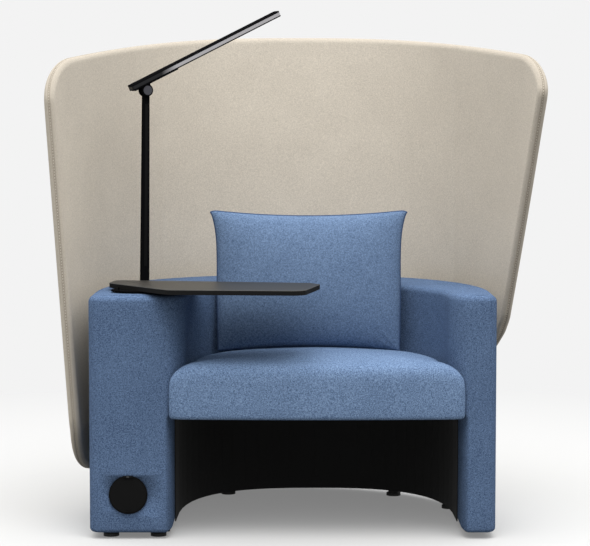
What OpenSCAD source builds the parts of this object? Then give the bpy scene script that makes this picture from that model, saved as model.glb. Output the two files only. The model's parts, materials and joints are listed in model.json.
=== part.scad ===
// Acoustic high back lounge chair: an upholstered horseshoe shell on glides, with a D shaped
// seat, a loose lumbar pillow, a flared acoustic screen, a swivelling tablet, a reading lamp
// on the wide arm and a lidded power outlet low on the front of the same arm.
// Millimetres. +X is to the sitter's left hand side as seen from the front, +Y to the back, +Z up.

/* [Shell] */
// Half of the width over the arms
shell_half_w = 487; // [470:1:500]
// From the arm fronts to the back of the shell
shell_depth = 705; // [680:1:712]
// Height of the arm tops
shell_top_z = 584; // [575:1:592]
// Height of the shell's underside, which is the height of the glides
shell_bottom_z = 15; // [10:1:20]
// How far to one side of the screen's middle the shell stands
shell_x = -8; // [-12:1:-4]
// Length of the straight outer sides
arm_straight = 150; // [130:1:170]
// Rounding of the arms' outer front corners
nose_r = 26; // [22:1:34]
// Rounding of the arms' top edges
top_edge_r = 15; // [10:1:18]
// Rounding of the bottom edges
bottom_edge_r = 10; // [6:1:14]
// Thickness of foam and cover on the frame
foam_t = 20; // [16:1:22]

/* [Seat well] */
// Width of the wide arm beside the well
wide_arm_w = 229; // [222:1:236]
// Width of the thin arm beside the well
thin_arm_w = 113; // [108:1:118]
// How far behind the arm fronts the well's arc begins
tub_y = 100; // [80:1:120]
// How much wider on each side the space under the seat is than the well
liner_side = 32; // [26:1:36]
// Thickness of the shell behind the space under the seat
liner_wall = 101; // [90:1:120]
// Thickness of the black lining board
liner_t = 3; // [2:0.5:5]
// Thickness of the plywood plates in the shell
ply_t = 18; // [15:1:21]

/* [Seat] */
// Height of the seat cushion's underside
seat_z = 290; // [280:1:300]
// Height of the seat's crown
seat_crown_z = 435; // [420:1:445]
// How far the seat's front edge stands before the arms
seat_front = 25; // [15:1:35]
// Running space round the seat cushion
seat_gap = 1; // [0.5:0.5:3]

/* [Screen] */
// Height of the top edge at the back
screen_top_z = 1226; // [1180:1:1240]
// Height of the lowest corner, on the wide arm's side
screen_low_z = 112; // [100:1:180]
// Height of the lowest corner on the thin arm's side
screen_high_z = 480; // [440:1:500]
// Thickness of the screen
screen_t = 27; // [24:1:34]
// Space between the shell's back and the screen
screen_gap = 17; // [14:1:24]
// How far the screen's outer face stands beyond the shell's sides at its low front edge
screen_side = 65; // [58:1:78]

/* [Pillow] */
// Width of the pillow from tip to tip
pillow_w = 492; // [460:1:500]
// Height of the pillow
pillow_h = 350; // [330:1:360]
// Thickness of the pillow
pillow_t = 128; // [100:1:136]

/* [Tablet] */
// Length of the tablet's back edge
tablet_l = 490; // [460:1:510]
// Thickness of the tablet
tablet_t = 12; // [11:1:16]
// Height of the tablet's top
tablet_top_z = 604; // [602:1:612]
// Turn of the tablet at rest, in degrees
tablet_turn = -12; // [-14:1:-10]
// Radius of the pivot post
pivot_r = 9; // [8:0.5:11]

/* [Lamp] */
// Length of the lamp's head from its hinge to its tip
lamp_reach = 428; // [380:1:440]
// Height of the head's hinge
lamp_hinge_z = 1075; // [1050:1:1090]
// Turn of the lamp at rest, in degrees
lamp_turn = 30; // [26:1:34]
// Rise of the lamp's head at rest, in degrees
lamp_rise = 25; // [20:1:30]
// Thickness of the lamp's head
head_t = 14; // [12:1:16]
// Width of the lamp's head
head_w = 30; // [26:1:36]
// Radius of the lamp's spigot in the arm
spigot_r = 8; // [7:0.5:9]

/* [Power outlet] */
// Radius of the outlet's flange
port_r = 46; // [43:1:50]
// Height of the outlet's middle
port_z = 108; // [104:1:120]
// Depth of the outlet's cup behind the arm's front
port_depth = 44; // [40:1:56]

/* [Hidden] */

// Fits shared by several pieces
seat_fit = 0.3;     // between two pieces that only rest or lie together
run_fit = 0.05;     // radial play of a shaft that turns
over = 1;           // overrun of every cut
hole_fn = 48;       // facets of a round bore or pin

// Steps of the curved outlines
nose_steps = 5;
back_steps = 28;

tub_r = shell_half_w - (wide_arm_w + thin_arm_w) / 2;
tub_x = shell_x + (wide_arm_w - thin_arm_w) / 2;
liner_half_w = tub_r + liner_side;
liner_back_y = shell_depth - liner_wall;

// Wells and noses
under_nose_x = 16;                      // rounding of an arm's inner front edge, across
under_nose_y = 60;                      // and along
well_nose_low = 46;                     // the same above the seat, at its foot
well_nose_top = 64;                     // and at the arm's top
liner_y = 170;                          // where the lining's arc begins
liner_back = liner_back_y - liner_y;
shell_n = 2.15;
liner_n = 2.7;
step_rise = 14;                         // the inner face steps in over this height
step_low_z = seat_z + over;
step_high_z = step_low_z + step_rise;
top_edge_z = shell_top_z - top_edge_r;
bottom_edge_z = shell_bottom_z + bottom_edge_r;

function sgn(v) = v < 0 ? -1 : 1;
function power(v, p) = sgn(v) * pow(abs(v), p);
function mix(a, b, t) = a + (b - a) * t;
function clamp(v) = min(max(v, 0), 1);
// A round rod or bore
module bar(h, r, center = false) { cylinder(h = h, r = r, center = center, $fn = hole_fn); }
function flip(list) = [for (i = [len(list) - 1:-1:0]) list[i]];
function mirror_points(list, x) = [for (p = flip(list)) [2 * x - p[0], p[1]]];

// Outer outline of the shell, from the left nose round the back to the right nose
function outer_nose(d) = [for (i = [0:nose_steps]) let (t = 90 * i / nose_steps, r = nose_r - d)
  [shell_x - shell_half_w + nose_r - r * sin(t), nose_r - r * cos(t)]];
function outer_back(d) = [for (i = [0:back_steps]) let (t = 180 - 180 * i / back_steps)
  [shell_x + (shell_half_w - d) * power(cos(t), 2 / shell_n),
   arm_straight + (shell_depth - arm_straight - d) * power(sin(t), 2 / shell_n)]];
function outer_path(d) =
  concat(outer_nose(d), outer_back(d), mirror_points(outer_nose(d), shell_x));

// Inner outline above the seat, and the wider one under it
function inner_nose(d, half, rx, ry) = [for (i = [0:nose_steps]) let (t = 90 * i / nose_steps)
  [tub_x - half - rx + (rx - d) * sin(t), ry - (ry - d) * cos(t)]];
function well_path(d, rx) = concat(inner_nose(d, tub_r, rx, tub_y),
  [for (i = [0:back_steps]) let (t = 180 - 180 * i / back_steps,
      e = i == 0 || i == back_steps ? seat_gap : 0)
    [tub_x + (tub_r + d) * cos(t), tub_y + e + (tub_r + d) * sin(t)]],
  mirror_points(inner_nose(d, tub_r, rx, tub_y), tub_x));
function under_path(d) = concat(inner_nose(d, liner_half_w, under_nose_x, under_nose_y),
  [for (i = [0:back_steps]) let (t = 180 - 180 * i / back_steps)
    [tub_x + (liner_half_w + d) * power(cos(t), 2 / liner_n),
     liner_y + (liner_back + d) * power(sin(t), 2 / liner_n)]],
  mirror_points(inner_nose(d, liner_half_w, under_nose_x, under_nose_y), tub_x));
// The stretch of the inner outline under the seat that lies behind a given place
function under_arc(d, y) = concat([[tub_x - liner_half_w - d, y]],
  [for (i = [0:back_steps]) let (t = 180 - 180 * i / back_steps)
    [tub_x + (liner_half_w + d) * power(cos(t), 2 / liner_n),
     liner_y + (liner_back + d) * power(sin(t), 2 / liner_n)]],
  [[tub_x + liner_half_w + d, y]]);

function at_z(path, z) = [for (p = path) [p[0], p[1], z]];
function loop_z(outer, inner, z) = at_z(concat(outer, flip(inner)), z);
function well_nose(z) =
  mix(well_nose_low, well_nose_top, (z - step_high_z) / (shell_top_z - step_high_z));

edge_angles = [0, 22, 45, 68, 90];      // steps round a rounded edge, in degrees
function bottom_loops() = [for (t = flip(edge_angles)) let (d = bottom_edge_r * (1 - cos(t)))
  loop_z(outer_path(d), under_path(d), bottom_edge_z - bottom_edge_r * sin(t))];
function top_loops() = [for (t = edge_angles) let (d = top_edge_r * (1 - cos(t)))
  loop_z(outer_path(d), well_path(d, well_nose(shell_top_z)), top_edge_z + top_edge_r * sin(t))];
function shell_loops() = concat(bottom_loops(),
  [loop_z(outer_path(0), under_path(0), step_low_z),
   loop_z(outer_path(0), well_path(0, well_nose(step_high_z)), step_high_z)],
  top_loops());

// A closed skin over a stack of loops, with strips across the first and the last loop
module horseshoe(loops) {
  m = len(loops[0]);
  n = len(loops);
  half = m / 2;
  sides = [for (j = [0:n - 2], i = [0:m - 1]) let (a = j * m + i, b = j * m + (i + 1) % m)
    each [[a, a + m, b + m], [a, b + m, b]]];
  low = [for (i = [0:half - 2]) each [[i, i + 1, m - 2 - i], [i, m - 2 - i, m - 1 - i]]];
  high = [for (f = low) [f[0], f[2], f[1]] + [1, 1, 1] * (n - 1) * m];
  polyhedron([for (l = loops) each l], concat(sides, low, high));
}

// A closed skin over loops, with a fan to a point at each end
module stack(loops, low_point, high_point) {
  m = len(loops[0]);
  n = len(loops);
  sides = [for (j = [0:n - 2], i = [0:m - 1]) let (a = j * m + i, b = j * m + (i + 1) % m)
    each [[a, a + m, b + m], [a, b + m, b]]];
  low = [for (i = [0:m - 1]) [i, (i + 1) % m, n * m]];
  high = [for (i = [0:m - 1]) [(n - 1) * m + (i + 1) % m, (n - 1) * m + i, n * m + 1]];
  polyhedron([for (l = loops) each l, low_point, high_point], concat(sides, low, high));
}

// Cavity of the shell, which the frame fills
cavity_front_left = foam_t;
cavity_front_right = 72;
cavity_wall = 5;                        // cover behind the lining
cavity_top_z = shell_top_z - foam_t;
function cavity_outer(d) = concat([[shell_x - shell_half_w + foam_t + d, cavity_front_left + d]],
  outer_back(foam_t + d), [[shell_x + shell_half_w - foam_t - d, cavity_front_right + d]]);
function cavity_inner(d) = let (w = liner_half_w + cavity_wall + d)
  concat([[tub_x - w, cavity_front_left + d]], under_arc(cavity_wall + d, liner_y),
    [[tub_x + w, cavity_front_right + d]]);
module cavity_plan(d) { polygon(concat(cavity_outer(d), flip(cavity_inner(d)))); }
module plate(z, t) {
  translate([0, 0, z]) linear_extrude(t) cavity_plan(seat_fit);
}
base_z = shell_bottom_z;
top_plate_z = cavity_top_z - ply_t;

// Places shared by the arm's fittings
arm_x = shell_x - shell_half_w;         // the wide arm's outer side
pivot_in = 110;                         // each from the arm's outer side
lamp_in = 115;
port_in = 94;
pivot_y = 100;                          // each from the arm's front
lamp_y = 285;
pivot_x = arm_x + pivot_in;
lamp_x = arm_x + lamp_in;
port_x = arm_x + port_in;
lamp_socket_r = spigot_r + 3;
pivot_hole_r = pivot_r + 2;
port_tube_r = port_r - 6;
port_back_y = port_depth;
port_board_y = cavity_front_left + seat_fit;
port_hole_r = port_tube_r + seat_fit;
screw_r = 3;
bolt_r = 4;

// Foam and cloth over the whole frame, which the cover, the well and the surrounds share
module shell_skin() {
  difference() {
    horseshoe(shell_loops());
    translate([0, 0, shell_bottom_z - over]) linear_extrude(cavity_top_z - shell_bottom_z + over)
      cavity_plan(0);
    for (p = [[pivot_x, pivot_y, pivot_hole_r], [lamp_x, lamp_y, lamp_socket_r + seat_fit]])
      translate([p[0], p[1], cavity_top_z - over])
        bar(foam_t + 2 * over, p[2]);
    spacer_rods(spacer_r + seat_fit);
  }
}
module fitting_bores() {
  translate([port_x, -over, port_z]) rotate([-90, 0, 0])
    bar(foam_t + 2 * over, port_hole_r);
  translate([inlet_x, inlet_front_y, inlet_z]) rotate([-90, 0, 0])
    bar(inlet_l + over, inlet_r + seat_fit);
}
// The well's own wall, above the step that the seat fills
module well_region() {
  translate([0, 0, step_low_z]) linear_extrude(shell_top_z) polygon(concat(
    [[tub_x - liner_half_w - cavity_wall, -over]], cavity_inner(0),
    [[tub_x + liner_half_w + cavity_wall, -over]]));
}
port_patch = 61;                        // half widths of the firm blocks round the two fittings
inlet_patch = 32;
module patch_regions() {
  translate([port_x - port_patch, -over, port_z - port_patch])
    cube([2 * port_patch, cavity_front_left + 2 * over, 2 * port_patch]);
  translate([inlet_x - inlet_patch, inlet_front_y, inlet_z - inlet_patch])
    cube([2 * inlet_patch, inlet_l + over, 2 * inlet_patch]);
}
module shell_cover() {
  color([0.36, 0.45, 0.58]) here() difference() {
    shell_skin();
    well_region();
    patch_regions();
  }
}
module well_cover() {
  color([0.34, 0.43, 0.56]) here() intersection() {
    shell_skin();
    well_region();
  }
}
module fitting_surrounds() {
  color([0.35, 0.44, 0.57]) here() difference() {
    union() {
      translate([port_x - port_patch, 0, port_z - port_patch])
        cube([2 * port_patch, cavity_front_left, 2 * port_patch]);
      translate([0, 0, inlet_z - inlet_patch]) linear_extrude(2 * inlet_patch) intersection() {
        difference() {
          polygon(outer_path(0));
          cavity_plan(0);
        }
        translate([inlet_x - inlet_patch, inlet_front_y]) square([2 * inlet_patch, inlet_l + over]);
      }
    }
    fitting_bores();
  }
}

module shell_base_plate() {
  color([0.1, 0.1, 0.1]) here() difference() {
    plate(base_z, ply_t);
    for (p = glide_places) translate([p[0], p[1], base_z - over])
      bar(ply_t + 2 * over, screw_r);
  }
}

module shell_top_plate() {
  color([0.75, 0.62, 0.45]) here() difference() {
    plate(top_plate_z, ply_t);
    translate([pivot_x, pivot_y, top_plate_z - over])
      bar(ply_t + 2 * over, pivot_r);
    translate([lamp_x, lamp_y, top_plate_z - over])
      bar(ply_t + 2 * over, lamp_socket_r);
  }
}

// Timber posts between the two plates, along the middle line of the horseshoe's cavity
post_t = 22;
post_w = 36;
post_steps = [0, 4, 7, 19, 24, 28];
post_h = top_plate_z - base_z - ply_t;
nose_post_y = 84;
cavity_mid = [for (i = [0:back_steps])
  (outer_back(foam_t)[i] + under_arc(cavity_wall, liner_y)[i + 1]) / 2];
module post(x, y, turn) {
  translate([x, y, base_z + ply_t]) rotate([0, 0, turn])
    translate([-post_w / 2, -post_t / 2, 0]) cube([post_w, post_t, post_h]);
}
module shell_posts() {
  color([0.78, 0.66, 0.5]) here() difference() {
    union() {
      for (i = post_steps)
        let (p = cavity_mid[i], d = cavity_mid[min(i + 1, back_steps)] - cavity_mid[max(i - 1, 0)])
          post(p[0], p[1], atan2(d[1], d[0]));
      post(cavity_mid[0][0] + post_w, nose_post_y, 90);
      post(cavity_mid[back_steps][0], cavity_front_right + post_w, 90);
      for (s = [-1, 1]) post(shell_x + s * spacer_x, spacer_front_y - post_t / 2, 0);
    }
    screen_bolt_rods();
  }
}

port_board_w = 140;
port_board_off = 16;
port_board_h = 150;
module port_board() {
  color([0.78, 0.66, 0.5]) here() difference() {
    translate([port_x + port_board_off - port_board_w / 2, port_board_y, base_z + ply_t])
      cube([port_board_w, ply_t, port_board_h]);
    translate([port_x, port_board_y - over, port_z]) rotate([-90, 0, 0])
      bar(ply_t + 2 * over, port_hole_r);
  }
}

// Black lining board round the space under the seat
liner_front_y = 140;
liner_up = 1;                           // its lower edge stands off the shell's underside
module under_liner() {
  color([0.03, 0.03, 0.03]) here() translate([0, 0, shell_bottom_z + liner_up])
    linear_extrude(seat_z - shell_bottom_z - liner_up)
      polygon(concat(under_arc(-seat_fit, liner_front_y), flip(under_arc(-liner_t, liner_front_y))));
}

// Glides under the base plate, each with a screw
glide_r = 19;
glide_neck_r = 14;
glide_t = shell_bottom_z;
glide_in = 10;                          // from a glide's edge to the cavity's front corners
glide_steps = [4, 10, 19, 24];          // the rear glides, by their place on the cavity's middle line
function glide_front(x, y, s) = [x + s * (glide_r + glide_in), y + glide_r + glide_in];
glide_places = concat([glide_front(arm_x + foam_t, cavity_front_left, 1),
  glide_front(tub_x - liner_half_w - cavity_wall, cavity_front_left, -1),
  [cavity_mid[back_steps][0], cavity_front_right + glide_r + glide_in]],
  [for (i = glide_steps) cavity_mid[i]]);
module glide_pads() {
  color([0.08, 0.08, 0.08]) here() for (p = glide_places) translate([p[0], p[1], 0])
    difference() {
      union() {
        bar(glide_t / 2, glide_r);
        bar(glide_t, glide_neck_r);
      }
      translate([0, 0, glide_t / 3]) bar(glide_t, screw_r);
    }
}
module glide_screws() {
  color([0.6, 0.6, 0.62]) here() for (p = glide_places)
    translate([p[0], p[1], glide_t / 3]) bar(glide_t / 2 + ply_t, screw_r);
}

// Seat: a crowned D shaped cushion on a board, on a horseshoe rail screwed through the lining
seat_middle_y = (tub_y + tub_r - seat_front) / 2;
seat_corner = 24;
seat_bow = 10;                          // how far the front edge bows out
seat_wing_deg = 12;                     // where the edge leaves the arm's nose
function seat_nose() = [for (i = [0:nose_steps]) let (t = mix(seat_wing_deg, 90, i / nose_steps))
  [tub_x - tub_r - well_nose_low + (well_nose_low + seat_gap) * sin(t),
   tub_y - (tub_y + seat_gap) * cos(t)]];
seat_side_x = seat_nose()[0][0];
front_steps = 8;
function seat_outline() = let (left = concat(seat_front_edge_left(), seat_nose()),
  back = [for (i = [1:back_steps - 1]) let (t = 180 - 180 * i / back_steps)
    [tub_x + (tub_r - seat_gap) * cos(t), tub_y + (tub_r - seat_gap) * sin(t)]])
  concat(left, back, mirror_points(left, tub_x), front_bow());
function seat_front_edge_left() = flip([for (i = [0:nose_steps]) let (t = 90 * i / nose_steps)
  [seat_side_x + seat_corner * (1 - cos(t)),
   seat_bow - seat_front + seat_corner / 2 * (1 - sin(t))]]);
function front_bow() = [for (i = [1:front_steps - 1]) let (u = 1 - 2 * i / front_steps)
  [tub_x + u * (tub_x - seat_side_x - seat_corner), -seat_front + seat_bow * u * u]];

// Share of the plan and share of the height of each ring of the cushion
seat_ring_shares = [[0.965, 0], [0.99, 0.015], [1, 0.06], [1, 0.34], [0.998, 0.64], [0.985, 0.745],
  [0.955, 0.82], [0.9, 0.875], [0.8, 0.92], [0.64, 0.957], [0.42, 0.984], [0.2, 0.997]];
function seat_ring(s) = [for (p = seat_outline())
  [tub_x + (p[0] - tub_x) * s[0], seat_middle_y + (p[1] - seat_middle_y) * s[0],
   mix(seat_z, seat_crown_z, s[1])]];
// The rings start in the pocket that holds the board
seat_board_share = 0.94;
seat_pocket_shares = [[seat_board_share, ply_t / (seat_crown_z - seat_z)], [seat_board_share, 0]];
module seat_cushion() {
  color([0.42, 0.52, 0.66]) here()
    stack([for (s = concat(seat_pocket_shares, seat_ring_shares)) seat_ring(s)],
      [tub_x, seat_middle_y, seat_z + ply_t], [tub_x, seat_middle_y, seat_crown_z]);
}
module seat_board_plan(d) {
  polygon([for (p = seat_outline()) let (s = seat_board_share - d / tub_r)
    [tub_x + (p[0] - tub_x) * s, seat_middle_y + (p[1] - seat_middle_y) * s]]);
}
// The rail is a shelf of board from the lining in under the seat's edge
rail_t = 22;
rail_in = 70;
rail_front_y = liner_front_y;
seat_bolt_head = 4;
seat_bolt_angles = [12, 43, 74, 106, 137, 168];
function rail_point(t, d) = [tub_x + (tub_r - d) * cos(t),
  rail_front_y + (tub_y + tub_r - d - rail_front_y) * sin(t)];
seat_bolt_places = [for (t = seat_bolt_angles) rail_point(t, rail_in / 2)];
module seat_board() {
  color([0.75, 0.62, 0.45]) here() difference() {
    translate([0, 0, seat_z]) linear_extrude(ply_t - seat_fit) seat_board_plan(seat_fit);
    for (p = seat_bolt_places) translate([p[0], p[1], seat_z - over])
      bar(ply_t + 2 * over, bolt_r);
  }
}
module seat_rail() {
  color([0.05, 0.05, 0.05]) here() difference() {
    translate([0, 0, seat_z - rail_t]) linear_extrude(rail_t)
      polygon(concat(under_arc(-liner_t, rail_front_y),
        [for (i = [0:back_steps]) rail_point(180 * i / back_steps, rail_in)]));
    for (p = seat_bolt_places) translate([p[0], p[1], seat_z - rail_t - over])
      bar(rail_t + 2 * over, bolt_r);
  }
}
module seat_bolts() {
  color([0.5, 0.5, 0.52]) here() for (p = seat_bolt_places) translate([p[0], p[1], seat_z - rail_t]) {
    bar(rail_t + ply_t / 2, bolt_r);
    translate([0, 0, -seat_bolt_head]) bar(seat_bolt_head, bolt_r * 2);
  }
}

// Screen: an arc that hugs the shell low down and splays towards the front higher up
screen_front_y = 100;
screen_half_w = shell_half_w + screen_side;
screen_flare = 0.07;                    // widening for each unit of height
screen_lean = 0.042;                    // leaning back for each unit of height
screen_lean_z = 158;                    // the lean is measured from here
screen_flare_z = 244;                   // the flare begins here
screen_hug_z = 430;                     // the plan begins to splay here
screen_hug_n = 2.3;
screen_splay_n = 2.8;
screen_cols = 40;
screen_rows = 11;
rim_slopes = [0.131, 0.115];            // fall of the top edge to the left and right fronts
corner_run = 150;                       // the top corners go this far back
corner_h = 97;                          // and this far down
sweep_run = 300;                        // the low left corner goes this far back
sweep_h = 170;                          // and this far up
screen_tip = 40;                        // rounding of the low right corner
seam_in = 15;                           // the edge seam from the rim
screen_pad_t = 9;
screen_core_t = 8;
pad_fit = 2;                            // the seam's gap round the inner pad
cut_back_top_z = 1060;                  // the right front edge runs back below this
cut_back = 230;
cut_power = 0.5;
arc_share = 3.9;                        // length of the screen's arc, in half widths
sweep_share = 0.58;                     // the low edge climbs past this share of the arc
crowd_share = 0.055;                    // stations stand closer together near the bends
function cut_back_share(z) =
  pow(clamp((cut_back_top_z - z) / (cut_back_top_z - screen_high_z)), cut_power);
function screen_w(z) = screen_half_w + screen_flare * max(z - screen_flare_z, 0);
function screen_back(z) = shell_depth + screen_gap + screen_lean * (z - screen_lean_z);
// Place of the arc at a share c of the half width
function plan_y(c, z, e) = let (b = screen_back(z) + e - screen_front_y,
  f = clamp((z - screen_hug_z) / (screen_top_z - screen_hug_z)),
  hug = pow(1 - pow(abs(c), screen_hug_n), 1 / screen_hug_n), splay = 1 - pow(abs(c), screen_splay_n))
  screen_front_y + b * mix(hug, splay, f);
// Share of the half width at which the arc stands a given way behind its front
function edge_c(z, y) = let (b = screen_back(z) - screen_front_y)
  pow(1 - pow(clamp(y / b), screen_hug_n), 1 / screen_hug_n);
// Station s runs from 0 at the left front edge to 1 at the right one
function station_c(s) = power(-cos(180 * s), 2 / screen_hug_n);
function edge_run(s, z) = plan_y(station_c(s), z, 0) - screen_front_y;
function screen_top(s) = screen_top_z - (s < 0.5 ? rim_slopes[0] : rim_slopes[1])
  * (screen_back(screen_top_z) - plan_y(station_c(s), screen_top_z, 0));
function corner_drop(u, r) = u >= 1 ? 0 : r * (1 - sqrt(1 - pow(1 - u, 2)));
function z_high(s, inset) = screen_top(s) - inset
  - corner_drop(edge_run(s, screen_top_z - corner_h) / corner_run, corner_h);
function z_low(s, inset) = let (k = clamp((s - sweep_share) / (1 - sweep_share)))
  mix(screen_low_z, screen_high_z, k * k) + inset
  + (s < 0.5 ? corner_drop(edge_run(s, screen_low_z) / sweep_run, sweep_h)
    : corner_drop((1 - s) * arc_share * screen_half_w / screen_tip, screen_tip));
function station(i) = let (u = i / screen_cols) u - crowd_share * sin(360 * u);
function screen_point(s, v, depth, inset) = let (
  z = mix(z_low(s, inset), z_high(s, inset), v),
  t0 = acos(-pow(edge_c(z, inset), screen_hug_n / 2)),
  t1 = acos(pow(edge_c(z, inset + cut_back * cut_back_share(z)), screen_hug_n / 2)),
  t = mix(t0, t1, s),
  c = power(cos(t), 2 / screen_hug_n))
  [c * (screen_w(z) - screen_t + depth), plan_y(c, z, depth), z];
function sheet_points(depth, inset) = [for (j = [0:screen_rows], i = [0:screen_cols])
  screen_point(station(i), j / screen_rows, depth, inset)];
function sheet_faces(from, outwards) = let (n = screen_cols + 1)
  [for (j = [0:screen_rows - 1], i = [0:screen_cols - 1]) let (a = from + j * n + i)
    each outwards ? [[a, a + n + 1, a + 1], [a, a + n, a + n + 1]]
      : [[a, a + 1, a + n + 1], [a, a + n + 1, a + n]]];
sheet_rim = let (n = screen_cols + 1, m = screen_rows + 1) concat([for (i = [0:n - 1]) i],
  [for (j = [1:m - 1]) j * n + n - 1], [for (i = [n - 2:-1:0]) (m - 1) * n + i],
  [for (j = [m - 2:-1:1]) j * n]);
// A strip between the rims of two grids of points
function rim_faces(from, to) = let (r = len(sheet_rim)) [for (i = [0:r - 1]) let (a = sheet_rim[i],
  b = sheet_rim[(i + 1) % r]) each [[from + a, to + a, to + b], [from + a, to + b, from + b]]];
sheet_count = (screen_cols + 1) * (screen_rows + 1);
module screen_sheet(near, far, inset) {
  polyhedron(concat(sheet_points(near, inset), sheet_points(far, inset)),
    concat(sheet_faces(0, false), sheet_faces(sheet_count, true), rim_faces(0, sheet_count)));
}
// A sheet with a tray in its face that holds the inner pad and the core
module screen_tray(depth, far, inset) {
  polyhedron(concat(sheet_points(depth, inset), sheet_points(0, inset - pad_fit), sheet_points(0, 0),
      sheet_points(far, 0)),
    concat(sheet_faces(0, false), rim_faces(0, sheet_count), rim_faces(sheet_count, 2 * sheet_count),
      rim_faces(2 * sheet_count, 3 * sheet_count), sheet_faces(3 * sheet_count, true)));
}
module screen_inner_pad() {
  color([0.76, 0.72, 0.66]) here() difference() {
    screen_sheet(0, screen_pad_t, seam_in);
    spacer_rods(spacer_r + seat_fit, screen_pad_t / 2);
  }
}
module screen_core() {
  color([0.7, 0.58, 0.42]) here() difference() {
    screen_sheet(screen_pad_t, screen_pad_t + screen_core_t, seam_in);
    screen_bolt_rods();
  }
}
module screen_outer_pad() {
  color([0.74, 0.7, 0.63]) here() screen_tray(screen_pad_t + screen_core_t, screen_t, seam_in);
}

// Steel standoffs and bolts that carry the screen on the shell's two back posts
spacer_x = 87;
spacer_r = 16;
spacer_down = 60;                       // the lower pair from the seat's board
spacer_rise = 190;                      // and the upper pair from it
spacer_z = [seat_z - spacer_down, seat_z + spacer_rise];
post_back = 30;                         // from the two back posts to the cavity's back
spacer_front_y = shell_depth - foam_t - post_back;
sheet_sag = 1.5;                        // how far a flat facet of the screen stands in from its arc
// Place of the core's face at the corner of a standoff that comes nearest to it
function core_y(s, z) = min([for (e = [-1, 1], f = [-1, 1])
  let (x = shell_x + s * spacer_x + e * spacer_r, h = z + f * spacer_r)
    plan_y(x / (screen_w(h) - screen_t + screen_pad_t), h, screen_pad_t)]) - sheet_sag;
module spacer_rods(r, past = 0) {
  for (s = [-1, 1], z = spacer_z) translate([shell_x + s * spacer_x, spacer_front_y, z])
    rotate([-90, 0, 0]) bar(core_y(s, z) - spacer_front_y + past, r);
}
module screen_spacers() {
  color([0.3, 0.3, 0.32]) here() difference() {
    spacer_rods(spacer_r);
    screen_bolt_rods();
  }
}
module screen_bolt_rods() {
  for (s = [-1, 1], z = spacer_z)
    translate([shell_x + s * spacer_x, spacer_front_y - post_t, z]) rotate([-90, 0, 0])
      bar(core_y(s, z) + screen_core_t - spacer_front_y + post_t, bolt_r);
}
module screen_bolts() { color([0.55, 0.55, 0.57]) here() screen_bolt_rods(); }

// Power outlet in the front of the wide arm
port_flange_t = 3;
port_tube_t = 2.5;
port_wall = 2;
port_ring_t = 6;
port_ring_w = 7;
port_face_y = 14;                       // the socket's face behind the arm's front
socket_recess_r = 19;
socket_recess_t = 15;
contact_pitch = 19;
contact_r = 3.5;
contact_bore_r = 2.4;
contact_l = 10;
lid_t = 2.5;
lid_r = port_r - 3;
lid_gap = 0.5;
lid_y = -port_flange_t - lid_gap - lid_t;
lid_hinge_r = 2.4;
lid_pin_r = 1.2;
lid_hinge_y = lid_y - lid_hinge_r / 2;
lid_hinge_z = port_z + port_r - lid_hinge_r;
lid_barrel_w = 4.7;
lid_barrel_gap = 3;
lid_ear_w = 3;
lip_w = 14;
lip_t = 3;
module at_port(y) { translate([port_x, y, port_z]) rotate([-90, 0, 0]) children(); }
module port_bezel() {
  ear_x = lid_barrel_gap + lid_barrel_w + seat_fit;
  color([0.07, 0.07, 0.07]) here() {
    difference() {
      union() {
        at_port(-port_flange_t) bar(port_flange_t, port_r);
        at_port(-seat_fit) bar(port_board_y + ply_t + port_ring_t, port_tube_r);
        for (s = [-1, 1]) translate([port_x + (s < 0 ? -ear_x - lid_ear_w : ear_x),
            lid_hinge_y - lid_hinge_r, lid_hinge_z - lid_hinge_r])
          cube([lid_ear_w, -lid_hinge_y + lid_hinge_r, 2 * lid_hinge_r]);
      }
      at_port(-port_flange_t - over)
        bar(port_depth * 2, port_tube_r - port_tube_t);
      translate([port_x - port_r, lid_hinge_y, lid_hinge_z]) rotate([0, 90, 0])
        bar(2 * port_r, lid_pin_r);
    }
  }
}
module port_lock_ring() {
  color([0.1, 0.1, 0.1]) here() at_port(port_board_y + ply_t) difference() {
    bar(port_ring_t, port_tube_r + port_ring_w);
    translate([0, 0, -over]) bar(port_ring_t + 2 * over, port_tube_r);
  }
}
port_cup_r = port_tube_r - port_tube_t;
module port_cup() {
  color([0.1, 0.1, 0.1]) here() at_port(0) difference() {
    bar(port_depth, port_cup_r);
    translate([0, 0, -over]) bar(port_depth - port_wall + over, port_cup_r - port_wall);
    translate([0, 0, port_depth / 2]) bar(port_depth, lead_r);
  }
}
module port_socket() {
  color([0.15, 0.15, 0.15]) here() at_port(port_face_y) difference() {
    bar(port_depth - port_wall - port_face_y, port_cup_r - port_wall);
    translate([0, 0, -over]) bar(socket_recess_t + over, socket_recess_r);
    for (s = [-1, 1]) translate([s * contact_pitch / 2, 0, socket_recess_t - over])
      bar(contact_l + over, contact_r);
  }
}
module port_contacts() {
  color([0.78, 0.66, 0.3]) here() at_port(port_face_y + socket_recess_t)
    for (s = [-1, 1]) translate([s * contact_pitch / 2, 0, 0]) difference() {
      bar(contact_l, contact_r);
      translate([0, 0, -over]) bar(contact_l, contact_bore_r);
    }
}
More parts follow.
